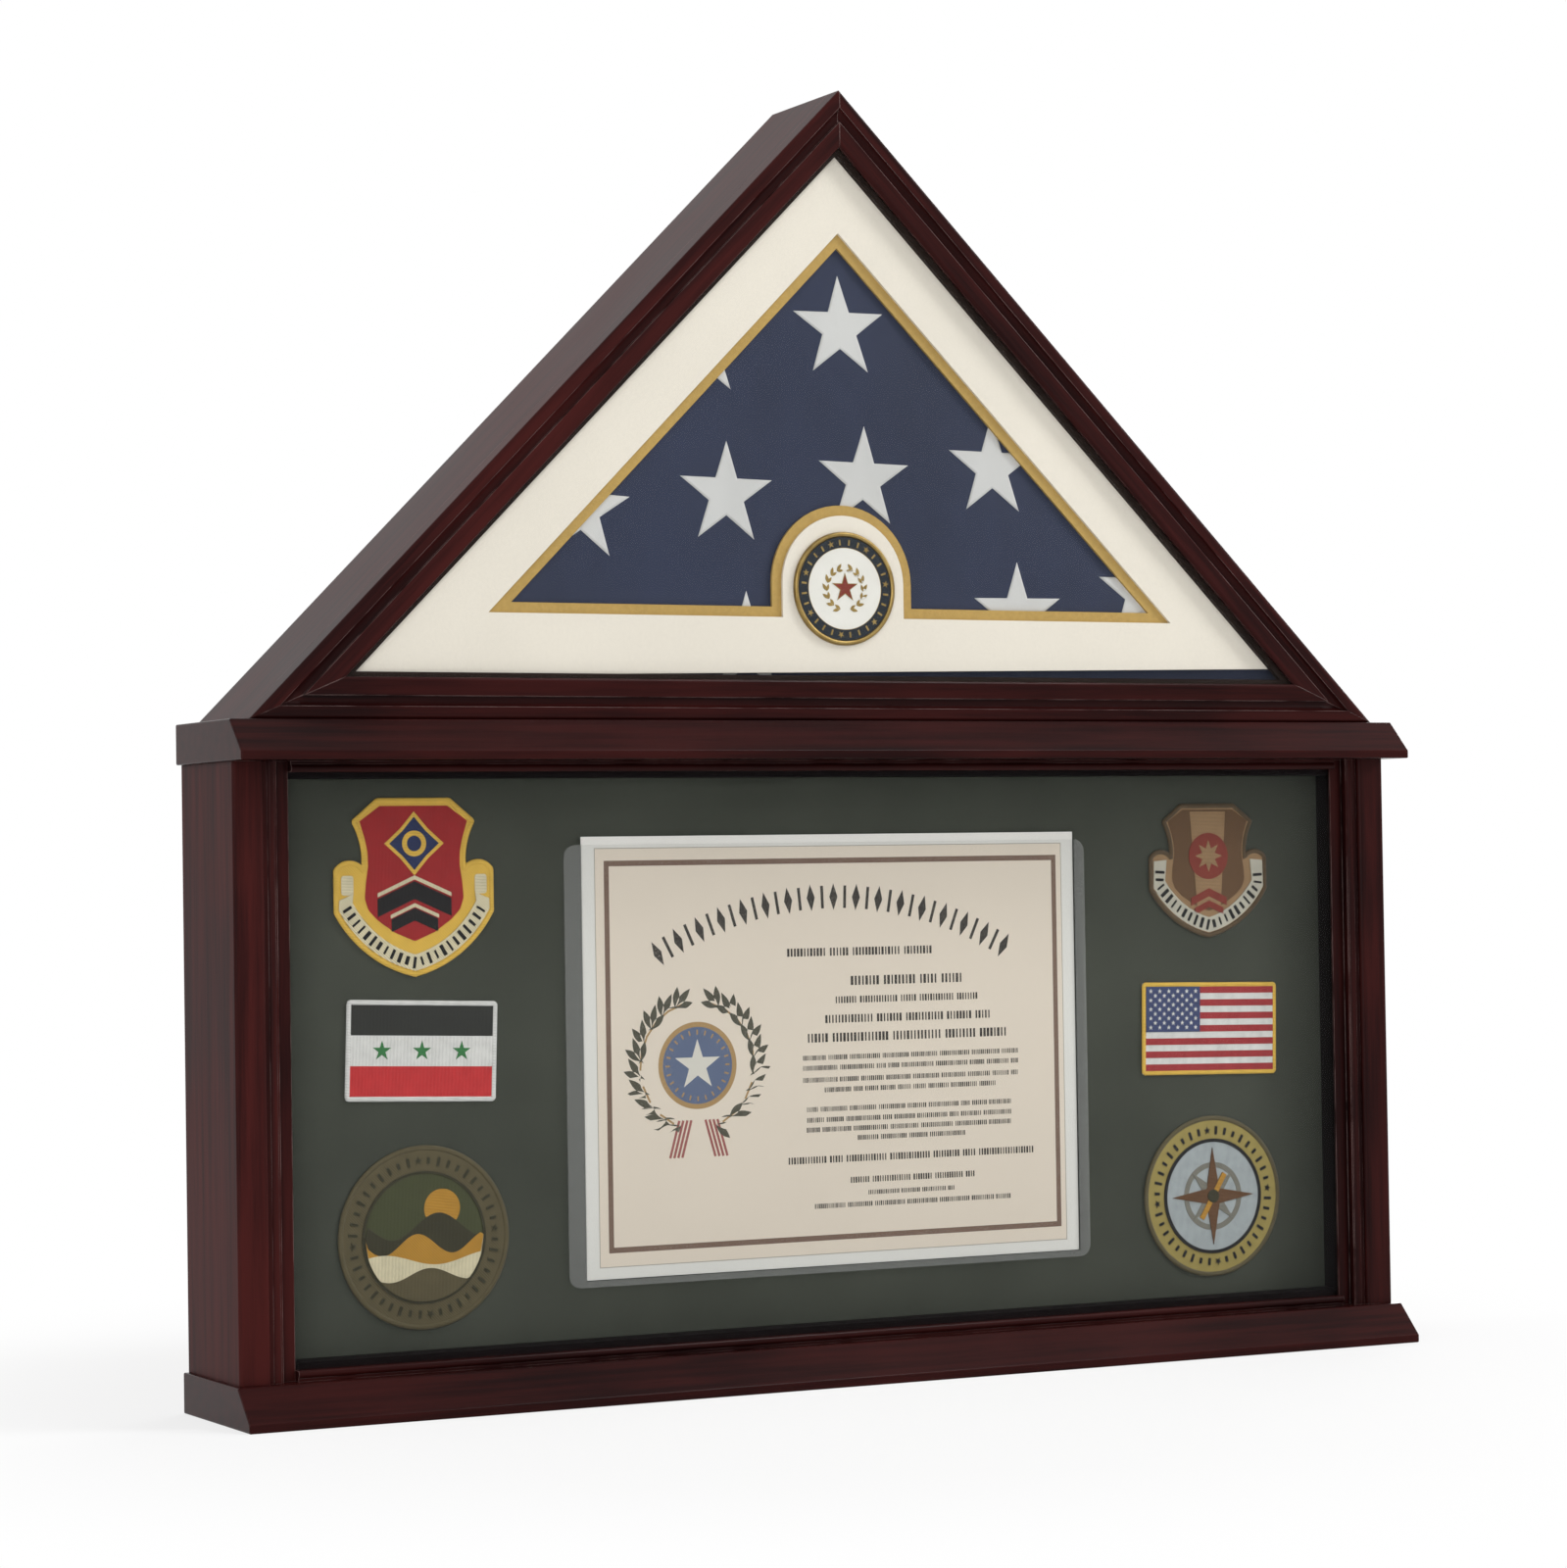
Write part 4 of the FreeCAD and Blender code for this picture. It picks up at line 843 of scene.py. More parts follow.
# finish, grain, share of the stain, satin and pieces; the share is lower on the level boards and the
# right-hand pieces, where it paints shade as well as stain
WOODS = (
    ("cherry_level", ALONG_X, 0.54, 0.0, (
        "plinth_board", "cornice_board", "sill_moulding", "flag_floor_board", "top_glass_stop",
        "bottom_glass_stop",
    )),
    ("cherry_upright", ALONG_Z, 0.85, 0.26, ("left_side_board", "left_tray_rail", "right_tray_rail")),
    ("cherry_right_side", ALONG_Z, 0.6, 0.1, ("right_side_board",)),
    ("cherry_left_stop", ALONG_Z, 0.7, 0.16, ("left_glass_stop",)),
    ("cherry_right_stop", ALONG_Z, 0.5, 0.16, ("right_glass_stop",)),
    ("cherry_left_rake", UP_LEFT_RAKE, 0.75, 0.16, ("left_roof_board", "left_rake_moulding")),
    ("cherry_right_rake", UP_RIGHT_RAKE, 0.6, 0.16, ("right_roof_board", "right_rake_moulding")),
)


class FLAGCASE_OT_finish_wood(bpy.types.Operator):
    """Lacquer the boards, stops and mouldings, each along its own grain"""

    bl_idname = "flagcase.finish_wood"
    bl_label = "Finish wood"

    def execute(self, context):
        wood = context.scene.flag_case.wood
        for name, grain, stain_and_shade, satin, nodes in WOODS:
            dress(lacquered_wood(name, grain, wood, stain_and_shade, satin), *nodes)
        return {"FINISHED"}


class FLAGCASE_OT_glaze(bpy.types.Operator):
    """Glaze both windows and colour the strips behind the glass"""

    bl_idname = "flagcase.glaze"
    bl_label = "Glaze"

    def execute(self, context):
        window = clear_finish("window_glass", (0.96, 0.98, 0.97), haze=0.003, gain=0.75, roughness=0.01)
        dress(window, "display_glass", "flag_glass")
        strip = moulded_finish("dark_strip", paint(16, 8, 10), paint(10, 5, 6), roughness=0.5, gloss=0.06)
        liners = [f"{side}_liner" for side in ("left", "right", "top", "bottom")]
        dress(strip, *liners)
        brown = moulded_finish("brown_strip", paint(44, 33, 28), paint(32, 22, 19), roughness=0.5, gloss=0.08)
        dress(brown, "left_rake_spacer", "right_rake_spacer", "sill_spacer")
        return {"FINISHED"}


class FLAGCASE_OT_cover_boards(bpy.types.Operator):
    """Cover the display board and finish the two back panels"""

    bl_idname = "flagcase.cover_boards"
    bl_label = "Cover boards"

    def execute(self, context):
        felt = board_finish(
            "green_felt", paint(72, 75, 67), paint(58, 61, 54), grain=900.0, roughness=0.92, weave=0.12
        )
        dress(felt, "display_board")
        hardboard = board_finish(
            "brown_hardboard", paint(116, 87, 63), paint(88, 64, 46), grain=260.0, roughness=0.7, weave=0.08
        )
        dress(hardboard, "display_back_panel", "flag_back_panel")
        return {"FINISHED"}


class FLAGCASE_OT_fit_hardware(bpy.types.Operator):
    """Finish turn buttons, screws, hangers and bumpers, and lay dark crosses on the screws' heads as painted
    shade of their recesses
    """

    bl_idname = "flagcase.fit_hardware"
    bl_label = "Fit hardware"

    def execute(self, context):
        brass = metal_finish(
            "button_brass", paint(190, 150, 84), paint(140, 104, 56), roughness=0.34, scratch=900.0
        )
        steel = metal_finish(
            "screw_steel", paint(176, 176, 172), paint(120, 120, 118), roughness=0.36, scratch=1200.0
        )
        rubber = moulded_finish("bumper_rubber", paint(46, 45, 44), paint(30, 29, 28), roughness=0.7)
        flag_buttons = [f"flag_turn_button_{number}" for number in range(1, 6)]
        display_buttons = [f"display_turn_button_{number}" for number in range(1, 7)]
        dress(brass, *flag_buttons, *display_buttons)
        dress(steel, "flag_button_screws", "display_button_screws", "keyhole_screws", "keyhole_plates")
        dress(steel, "plinth_screws", "joining_screws")
        dress(rubber, "wall_bumpers")
        # Painted shade: thin dark crosses laid on the screw heads stand for the shade in their recesses,
        # which are not cut.
        drive_shade = moulded_finish("drive_recess", paint(28, 27, 26), paint(16, 15, 15), roughness=0.6)
        for node in ("flag_button_screws", "display_button_screws", "keyhole_screws"):
            crosses, face_y = [], 0.0
            for low, high in islands(node):
                x, z = (low.x + high.x) / 2, (low.z + high.z) / 2
                reach = (high.x - low.x) * 0.56
                crosses.append(cross(x, z, reach, reach * 0.22, math.radians(17 + 1100 * x)))
                face_y = high.y
            mesh = flat_mesh(f"{node}_drives", crosses, face_y + 0.02 * MM, 0.06 * MM)
            add_piece(f"{node}_drives", mesh, drive_shade, "case")
        return {"FINISHED"}


def cross(x, z, reach, width, turn):
    half, thin = reach / 2, width / 2
    corners = (
        (thin, thin), (thin, half), (-thin, half), (-thin, thin), (-half, thin), (-half, -thin),
        (-thin, -thin), (-thin, -half), (thin, -half), (thin, -thin), (half, -thin), (half, thin),
    )
    return turned_about(x, z, corners, turn)


# ---- the medallion ----------------------------------------------------------------------------


class FLAGCASE_OT_set_medallion(bpy.types.Operator):
    """Turn the medallion's rim and lay its enamel, beads and star"""

    bl_idname = "flagcase.set_medallion"
    bl_label = "Set medallion"

    def execute(self, context):
        x, z, width, _ = middle_and_size("medallion_rim")
        low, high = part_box("medallion_rim")
        face_low, face_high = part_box("medallion_face")
        outer = width / 2
        face = (face_high.x - face_low.x) / 2
        brass = metal_finish(
            "medallion_brass", paint(168, 144, 90), paint(134, 110, 62), roughness=0.34, scratch=1100.0
        )
        navy = enamel_finish("navy_enamel", paint(40, 46, 54), paint(30, 36, 42))
        white = enamel_finish("white_enamel", paint(236, 234, 228), paint(224, 222, 214))
        front = low.y
        rim_profile = [
            (face + 0.1 * MM, high.y), (outer - 0.3 * MM, high.y), (outer, high.y - 0.3 * MM),
            (outer, front + 1.2 * MM), (outer - 0.2 * MM, front + 0.6 * MM),
            (outer - 0.6 * MM, front + 0.2 * MM), (outer - 1.1 * MM, front),
            (outer - 1.6 * MM, front + 0.1 * MM), (face + 0.3 * MM, front + 0.4 * MM),
            (face + 0.1 * MM, front + 0.8 * MM), (face + 0.1 * MM, high.y),
        ]
        rim = add_piece(
            "medallion_turned_rim", lathe_mesh("medallion_turned_rim", rim_profile, x, z), brass, "case",
            True,
        )
        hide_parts("medallion_rim")
        top = face_low.y
        white_radius = face * 0.785
        ground_profile = [
            (face, face_high.y), (face, top + 0.4 * MM), (white_radius + 0.25 * MM, top + 0.4 * MM),
            (white_radius + 0.2 * MM, top + 0.15 * MM), (white_radius + 0.05 * MM, top + 0.15 * MM),
            (white_radius, top + 0.4 * MM), (0.0, top + 0.4 * MM),
        ]
        ground = add_piece(
            "medallion_ground", lathe_mesh("medallion_ground", ground_profile, x, z), brass, "case",
            True,
        )
        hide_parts("medallion_face")
        ring = [disc(x, z, face - 0.1 * MM, SMOOTH), disc(x, z, white_radius + 0.25 * MM, SMOOTH)]
        self.lay("medallion_ring", ring, top + 0.4 * MM, 0.2 * MM, navy, "medallion_enamel")
        self.lay("medallion_centre", [disc(x, z, white_radius, SMOOTH)], top + 0.4 * MM, 0.15 * MM, white,
                 "medallion_enamel")
        middle_ring = (face + white_radius) / 2
        beads = []
        for number in range(28):
            angle = 2 * math.pi * (number + 0.5) / 28
            place = around(x, z, middle_ring, angle)
            if number % 4 == 0:
                beads.append(star(*place, 1.9 * MM, angle - math.pi / 2))
            else:
                beads.append(bar(*place, 2.8 * MM, 0.95 * MM, angle))
        self.lay("medallion_marks", beads, top + 0.2 * MM, 0.18 * MM, brass, "medallion_brass")
        wreath = 10.2 * MM
        sprigs = []
        for side in (-1, 1):
            for number in range(7):
                angle = math.radians(-74 + 23 * number)
                at_x = x + side * wreath * math.cos(angle)
                at_z = z + wreath * math.sin(angle) - 0.4 * MM
                grow = angle + math.radians(62)
                turn = grow if side > 0 else math.pi - grow
                sprigs.append(leaf(at_x, at_z, 4.4 * MM, 1.7 * MM, turn))
                sprigs.append(leaf(at_x, at_z, 3.6 * MM, 1.5 * MM, turn + side * math.radians(48)))
        self.lay("medallion_laurel", sprigs, top + 0.25 * MM, 0.2 * MM, brass, "medallion_brass")
        red = enamel_finish("red_enamel", paint(140, 62, 50), paint(112, 48, 40))
        self.lay("medallion_star", [star(x, z + 0.3 * MM, 6.6 * MM)], top + 0.25 * MM, 0.2 * MM, red,
                 "medallion_enamel")
        self.lay("medallion_star_ground", [star(x, z + 0.3 * MM, 7.6 * MM), star(x, z + 0.3 * MM, 6.6 * MM)],
                 top + 0.25 * MM, 0.24 * MM, brass, "medallion_brass")
        return {"FINISHED"}

    @staticmethod
    def lay(name, outlines, back_y, height, finish, slot_name):
        add_piece(name, flat_mesh(name, outlines, back_y, height, height * 0.2), finish, "case")


# ---- the certificate --------------------------------------------------------------------------


SLEEVE_TINT = paint(206, 208, 204)
# lines of words in mm: width, middle from the sheet's left edge and above its foot, and height
LINES = (
    (83.2, 153.6, 156.9, 4.0), (64.9, 180.2, 142.2, 4.6), (82.6, 180.2, 132.7, 3.4),
    (95.9, 180.9, 123.2, 4.0), (115.7, 180.5, 113.9, 4.4), (124.8, 182.5, 104.0, 2.4),
    (124.8, 182.4, 98.9, 2.4), (124.8, 182.3, 92.9, 2.4), (99.3, 181.7, 87.8, 2.4),
    (118.5, 181.1, 78.2, 2.4), (118.5, 181.1, 72.9, 2.4), (118.5, 180.9, 68.0, 2.4),
    (62.4, 181.7, 63.2, 2.4), (142.3, 182.1, 53.0, 3.4), (72.2, 182.1, 42.1, 3.0),
    (50.1, 181.1, 35.5, 2.2), (113.6, 182.3, 29.8, 2.4),
)


def line_strokes(chooser, width, height):
    """Even upright strokes in groups, with gaps between the groups, that fill a line centred on zero."""
    pitch = 0.46 * height
    count = round(width / pitch)
    pitch = width / count
    strokes, left = [], chooser.randint(5, 18)
    for number in range(count):
        if left == 0 and count - number > 4:
            left = chooser.randint(5, 18)
            continue
        left -= 1
        pen = pitch * chooser.choice((0.42, 0.55, 0.7))
        middle = (number + 0.5) * pitch - width / 2
        strokes.append((middle - pen / 2, -height / 2, middle + pen / 2, height / 2))
    return strokes


def stroke_mesh(name, quads, y):
    points, faces = [], []
    for quad in quads:
        start = len(points)
        points += [(x, y, z) for x, z in quad]
        faces.append((start, start + 1, start + 2, start + 3))
    return mesh_of(name, points, faces)


class FLAGCASE_OT_print_certificate(bpy.types.Operator):
    """Print the certificate's ground, frames, lines of words and seal, and clear its sleeve"""

    bl_idname = "flagcase.print_certificate"
    bl_label = "Print certificate"

    def execute(self, context):
        settings = context.scene.flag_case.print
        paper_shade = darker(settings.paper, 0.95)
        paper = board_finish(
            "certificate_paper", settings.paper, paper_shade, grain=1200.0, roughness=0.8, weave=0.02
        )
        dress(paper, "certificate_sheet")
        film = clear_finish("sleeve_film", SLEEVE_TINT, haze=0.025, gain=0.5, roughness=0.12)
        dress(film, "certificate_sleeve")
        self.weld_sleeve()
        low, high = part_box("certificate_sheet")
        self.left, self.foot = low.x, low.z
        self.front = low.y
        middle_x, middle_z = (low.x + high.x) / 2, (low.z + high.z) / 2
        width, height = high.x - low.x, high.z - low.z
        ground_shade = darker(settings.ground, 0.96)
        ground = board_finish(
            "certificate_ground", settings.ground, ground_shade, grain=1100.0, roughness=0.8, weave=0.02
        )
        side, end = 7.0 * MM, 5.6 * MM
        outer = bar(middle_x, middle_z, width - 2 * side, height - 2 * end)
        self.lay("certificate_ground", [outer], 0.02, ground)
        faint = ink_finish("faint_ink", paint(176, 168, 156), settings.paper, cover=0.7)
        inner = bar(middle_x, middle_z, width - 2 * side - 0.8 * MM, height - 2 * end - 0.8 * MM)
        self.lay("certificate_hairline", [outer, inner], 0.035, faint)
        brown = ink_finish("frame_ink", settings.frame, settings.ground, cover=0.75)
        frame_x, frame_z = self.left + 140.6 * MM, self.foot + 108.3 * MM
        frame_width, frame_height = 257 * MM, 191.5 * MM
        thick = 2.7 * MM
        lines = [
            bar(frame_x, frame_z, frame_width - 2 * inset, frame_height - 2 * inset) for inset in (0.0, thick)
        ]
        self.lay("certificate_frame", lines, 0.035, brown)
        self.print_words(settings)
        self.print_seal(settings)
        return {"FINISHED"}

    @staticmethod
    def weld_sleeve():
        """The sleeve's welded border, hazier than its window, down both sides and along the foot."""
        sheet_low, sheet_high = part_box("certificate_sheet")
        low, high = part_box("certificate_sleeve")
        outline = rounded_bar(*middle_and_size("certificate_sleeve"), 6.0 * MM)
        gap = 0.3 * MM
        left, right, foot = sheet_low.x - gap, sheet_high.x + gap, sheet_low.z - gap
        band = outline[7:] + outline[:7] + [(right, high.z), (right, foot), (left, foot), (left, high.z)]
        haze = clear_finish("sleeve_weld", SLEEVE_TINT, haze=0.22, gain=0.5, roughness=0.2)
        mesh = flat_mesh("sleeve_weld", [band], low.y - 0.02 * MM)
        add_piece("sleeve_weld", mesh, haze, "display_tray")

    def lay(self, name, outlines, proud, finish):
        mesh = flat_mesh(name, outlines, self.front - proud * MM)
        add_piece(name, mesh, finish, "display_tray")

    def print_words(self, settings):
        """An arched band of lozenges and bars over centred lines of small strokes."""
        ink = ink_finish("word_ink", settings.ink, settings.ground, cover=0.55)
        chooser = random.Random(settings.seed)
        quads = []
        radius, half_span, height, count = 196 * MM, 101 * MM, 13.5 * MM, 33
        arch_x, arch_z = self.left + 138.9 * MM, self.foot + 184.5 * MM - radius
        sweep = 2 * math.asin(half_span / radius)
        for number in range(count):
            angle = math.pi / 2 + sweep * (0.5 - (number + 0.5) / count)
            out = (math.cos(angle), math.sin(angle))
            along = (out[1], -out[0])
            x, z = around(arch_x, arch_z, radius, angle)
            wide, tall = ((2.3 * MM, height * 0.5), (0.8 * MM, height * 0.42))[number % 2]
            if number % 2:
                corners = ((-wide, -tall), (wide, -tall), (wide, tall), (-wide, tall))
            else:
                corners = ((0.0, -tall), (wide, 0.0), (0.0, tall), (-wide, 0.0))
            quads.append([(x + along[0] * u + out[0] * v, z + along[1] * u + out[1] * v) for u, v in corners])
        for width, across, rise, tall in LINES:
            x, z = self.left + across * MM, self.foot + rise * MM
            for x0, z0, x1, z1 in line_strokes(chooser, width * MM, tall * MM):
                quads.append([(x + x0, z + z0), (x + x1, z + z0), (x + x1, z + z1), (x + x0, z + z1)])
        mesh = stroke_mesh("certificate_words", quads, self.front - 0.05 * MM)
        add_piece("certificate_words", mesh, ink, "display_tray")

    def print_seal(self, settings):
        """A laurel wreath round a starred disc, with ribbon tails."""
        x, z = self.left + 61.6 * MM, self.foot + 102.5 * MM
        dark = ink_finish("leaf_ink", paint(78, 76, 62), settings.ground, cover=0.6)
        gold = ink_finish("gold_ink", paint(176, 142, 92), settings.ground, cover=0.7)
        blue = ink_finish("blue_ink", paint(94, 108, 140), settings.ground, cover=0.7)
        red = ink_finish("red_ink", paint(164, 92, 88), settings.ground, cover=0.7)
        wreath = 31.0 * MM
        leaves, stems = [], []
        for side in (-1, 1):
            for number in range(10):
                angle = math.radians(-72 + 15.5 * number)
                at_x, at_z = x + side * wreath * math.cos(angle), z + wreath * math.sin(angle)
                for spread, length in ((30, 10.5), (64, 12.5), (98, 10.0)):
                    grow = angle + math.radians(spread)
                    turn = grow if side > 0 else math.pi - grow
                    leaves.append(leaf(at_x, at_z, length * MM, 3.6 * MM, turn))
                stems.append(bar(at_x, at_z, 1.0 * MM, 9.0 * MM, angle if side > 0 else -angle))
        tails = []
        for side in (-1, 1):
            for stripe in range(4):
                lean = side * math.radians(16)
                tail_x = x + side * (6.5 + 2.2 * stripe) * MM
                tails.append(bar(tail_x, z - 36.0 * MM, 1.3 * MM, 19.0 * MM, lean))
        self.lay("certificate_ribbon", tails, 0.04, red)
        self.lay("certificate_stems", stems, 0.042, gold)
        self.lay("certificate_leaves", leaves, 0.05, dark)
        self.lay("certificate_disc", [disc(x, z, 19.0 * MM)], 0.052, blue)
        self.lay("certificate_ring", [disc(x, z, 21.5 * MM), disc(x, z, 19.0 * MM)], 0.056, gold)
        turns = [math.pi * step / 12 for step in range(24)]
        rays = [bar(*around(x, z, 16.4 * MM, turn), 2.4 * MM, 0.8 * MM, turn) for turn in turns]
        self.lay("certificate_rays", rays, 0.058, gold)
        pale = ink_finish("pale_ink", paint(226, 222, 212), settings.ground, cover=0.8)
        self.lay("certificate_star", [star(x, z, 13.0 * MM)], 0.06, pale)


# ---- the patches ------------------------------------------------------------------------------

THREADS = {
    "gold": (232, 190, 84), "red": (164, 44, 46), "cream": (224, 214, 180), "black": (34, 33, 34),
    "navy": (48, 58, 96), "brown": (106, 80, 56), "tan": (158, 128, 94), "dull_red": (136, 62, 52),
    "white": (228, 228, 224), "bright_red": (204, 58, 60), "green": (64, 128, 76), "blue": (70, 80, 118),
    "olive": (96, 88, 64), "dark_olive": (62, 60, 44), "ochre": (188, 140, 56), "moss": (74, 78, 52),
    "grey": (128, 126, 116), "stone": (196, 192, 176), "umber": (104, 74, 50),
    "straw": (164, 148, 86), "sky": (172, 180, 182), "drab": (94, 78, 58), "crimson": (168, 58, 62),
    "charcoal": (52, 53, 50),
}
GROUND_HEIGHT = 0.95 * MM


class Patch:
    """One patch on the display board: its ground, its ribbed edge and the shapes stitched on it."""

    def __init__(self, node, slot_name, stitch, turn=0.0):
        self.node = node
        self.turn = turn
        self.slot_name = slot_name
        self.stitch = stitch
        self.x, self.z, self.width, self.height = middle_and_size(node)
        _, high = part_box(node)
        self.board_y = high.y
        self.ground_y = self.board_y - GROUND_HEIGHT

    def turned(self, outline):
        """An outline turned with the patch about its middle."""
        offsets = [(px - self.x, pz - self.z) for px, pz in outline]
        return turned_about(self.x, self.z, offsets, self.turn)

    def thread(self, colour, direction):
        return thread_finish(
            f"{colour}_thread_{direction.lower()}", paint(*THREADS[colour]), direction, self.stitch.thread
        )

    def ground(self, outline, colour):
        name, height = f"{self.node}_ground", self.board_y - self.ground_y
        mesh = flat_mesh(name, [self.turned(outline)], self.board_y, height, 0.15 * MM)
        made = add_piece(name, mesh, self.thread(colour, "DIAGONAL"), "display_tray")
        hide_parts(self.node)

    def edge(self, outline, colour, height=1.55):
        name = f"{self.node}_edge"
        mesh = overlocked_edge(name, self.turned(outline), self.board_y, height * MM, self.stitch)
        add_piece(name, mesh, self.thread(colour, "Z"), "display_tray", True)

    def sew(self, part, outlines, colour, layer=1, direction="Z"):
        name = f"{self.node}_{part}"
        back = self.ground_y + 0.02 * MM
        height = self.stitch.lift * layer + 0.02 * MM
        mesh = flat_mesh(name, [self.turned(outline) for outline in outlines], back, height, 0.05 * MM)
        add_piece(name, mesh, self.thread(colour, direction), "display_tray")


def crest_outline(x, z, width, height, inset=0.0):
    """The shield with its ribbon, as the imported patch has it, drawn in by inset."""
    def corner(share, rise):
        return x + share * (width / 2), z - height / 2 + height * rise

    corners = [
        corner(0, 0), corner(1, 0.36), corner(1, 0.60), corner(0.66, 0.60), corner(0.76, 0.88),
        corner(0.46, 1), corner(-0.46, 1), corner(-0.76, 0.88), corner(-0.66, 0.60), corner(-1, 0.60),
        corner(-1, 0.36),
    ]
    arcs = {
        0: (0.75, 1), 2: (0.10, 1), 3: (0.45, -1), 7: (0.45, -1), 8: (0.10, 1), 10: (0.75, 1),
    }
    points = []
    for number, start in enumerate(corners):
        end = corners[(number + 1) % len(corners)]
        if number in arcs:
            bow, turning = arcs[number]
            points += arc_points(start, end, bow * width, turning)
        else:
            points.append(start)
    return shrunk(points, (x, z), inset) if inset else points


def shield_outline(x, z, width, height):
    """The shield alone, above the ribbon."""
    half = [
        (0.0, 0.20), (0.25, 0.25), (0.46, 0.32), (0.57, 0.375), (0.615, 0.44), (0.60, 0.53), (0.57, 0.62),
        (0.575, 0.70), (0.605, 0.77), (0.67, 0.87), (0.42, 0.955),
    ]
    right = [(x + share * width / 2, z - height / 2 + height * rise) for share, rise in half]
    left = [(2 * x - px, pz) for px, pz in reversed(right[1:])]
    return right + left


def ribbon_line(x, z, width, height, end, inset):
    """Points along the ribbon from its left end round the foot to its right end, drawn in by inset."""
    outline = crest_outline(x, z, width, height)
    foot = outline[:10] + [(x + width / 2, z - height / 2 + 0.36 * height)]
    right = foot + [(x + width / 2, z - height / 2 + end * height)]
    left = [(2 * x - px, pz) for px, pz in reversed(right[1:])]
    return shrunk(left + right, (x, z + 0.12 * height), inset)


class FLAGCASE_OT_sew_crest_patches(bpy.types.Operator):
    """Sew the two shield patches with their ribbons"""

    bl_idname = "flagcase.sew_crest_patches"
    bl_label = "Sew crest patches"

    def execute(self, context):
        stitch = context.scene.flag_case.stitch
        left = Patch("left_crest_patch", "crest_red", stitch)
        self.base(left, "gold", "gold", "cream", "black", 0.42)
        x, z, width, height = left.x, left.z, left.width, left.height
        left.sew("field", [shield_outline(x, z, width, height)], "red", 1, "X")
        lozenge_z, lozenge = z + 0.245 * height, {"tips": 4, "waist": 0.66}
        left.sew("lozenge", [star(x, lozenge_z, 0.17 * width, **lozenge)], "navy", 2)
        left.sew("lozenge_edge", [star(x, lozenge_z, 0.185 * width, **lozenge),
                                  star(x, lozenge_z, 0.155 * width, **lozenge)], "gold", 3)
        left.sew("ring", [disc(x, lozenge_z, 0.075 * width), disc(x, lozenge_z, 0.045 * width)], "gold", 3)
        end = (z + 0.015 * height, 0.075 * width, 0.11 * height, 1.5 * MM)
        ends = [rounded_bar(x + side * 0.415 * width, *end) for side in (-1, 1)]
        left.sew("ribbon_ends", ends, "cream", 2)
        wide = [self.chevron(x, z + 0.035 * height, 0.46 * width, 0.10 * height),
                self.chevron(x, z - 0.115 * height, 0.29 * width, 0.07 * height)]
        left.sew("chevrons", wide, "black", 2, "X")
        thin = [self.chevron(x, z + 0.067 * height, 0.46 * width, 0.022 * height),
                self.chevron(x, z - 0.088 * height, 0.30 * width, 0.02 * height)]
        left.sew("piping", thin, "cream", 3, "X")

        right = Patch("right_crest_patch", "crest_tan", stitch)
        self.base(right, "drab", "tan", "stone", "black", 0.57)
        x, z, width, height = right.x, right.z, right.width, right.height
        right.sew("field", [shield_outline(x, z, width, height)], "brown", 1, "X")
        band = [(x - 0.10 * width, z - 0.27 * height), (x + 0.10 * width, z - 0.27 * height),
                (x + 0.15 * width, z + 0.44 * height), (x - 0.15 * width, z + 0.44 * height)]
        right.sew("pale", [band], "tan", 2)
        right.sew("disc", [disc(x, z + 0.11 * height, 0.165 * width)], "dull_red", 3, "X")
        right.sew("star", [star(x, z + 0.11 * height, 0.115 * width, tips=8, waist=0.5)], "tan", 4)
        chevrons = [self.chevron(x, z - 0.13 * height, 0.30 * width, 0.06 * height),
                    self.chevron(x, z - 0.22 * height, 0.24 * width, 0.05 * height)]
        right.sew("chevrons", chevrons, "dull_red", 3, "X")
        return {"FINISHED"}

    @staticmethod
    def base(patch, edge, ground, ribbon, marks, end):
        place = (patch.x, patch.z, patch.width, patch.height)
        patch.ground(crest_outline(*place, 0.8 * MM), ground)
        patch.edge(crest_outline(*place, patch.stitch.edge_width / 2), edge)
        place += (end,)
        outer, inner = ribbon_line(*place, 3.0 * MM), ribbon_line(*place, 10.8 * MM)
        patch.sew("ribbon", [outer + inner[::-1]], ribbon, 3, "DIAGONAL")
        middle = evenly_spaced(ribbon_line(*place, 6.8 * MM) + ribbon_line(*place, 6.85 * MM)[::-1], 1.0 * MM)
        middle = middle[: len(middle) // 2]
        chooser = random.Random(len(patch.node))
        dashes = []
        for step in range(6, len(middle) - 6, 4):
            (x0, z0), (x1, z1) = middle[step - 1], middle[step + 1]
            turn = math.atan2(z1 - z0, x1 - x0)
            tall = chooser.choice((4.2, 4.9, 5.6)) * MM
            dashes.append(bar(*middle[step], chooser.choice((1.1, 1.5, 1.9)) * MM, tall, turn))
        patch.sew("ribbon_marks", dashes, marks, 4)

    @staticmethod
    def chevron(x, z, width, thick):
        half, rise = width / 2, width * 0.22
        return [(x - half, z - rise), (x, z), (x + half, z - rise),
                (x + half, z - rise - thick), (x, z - thick), (x - half, z - rise - thick)]


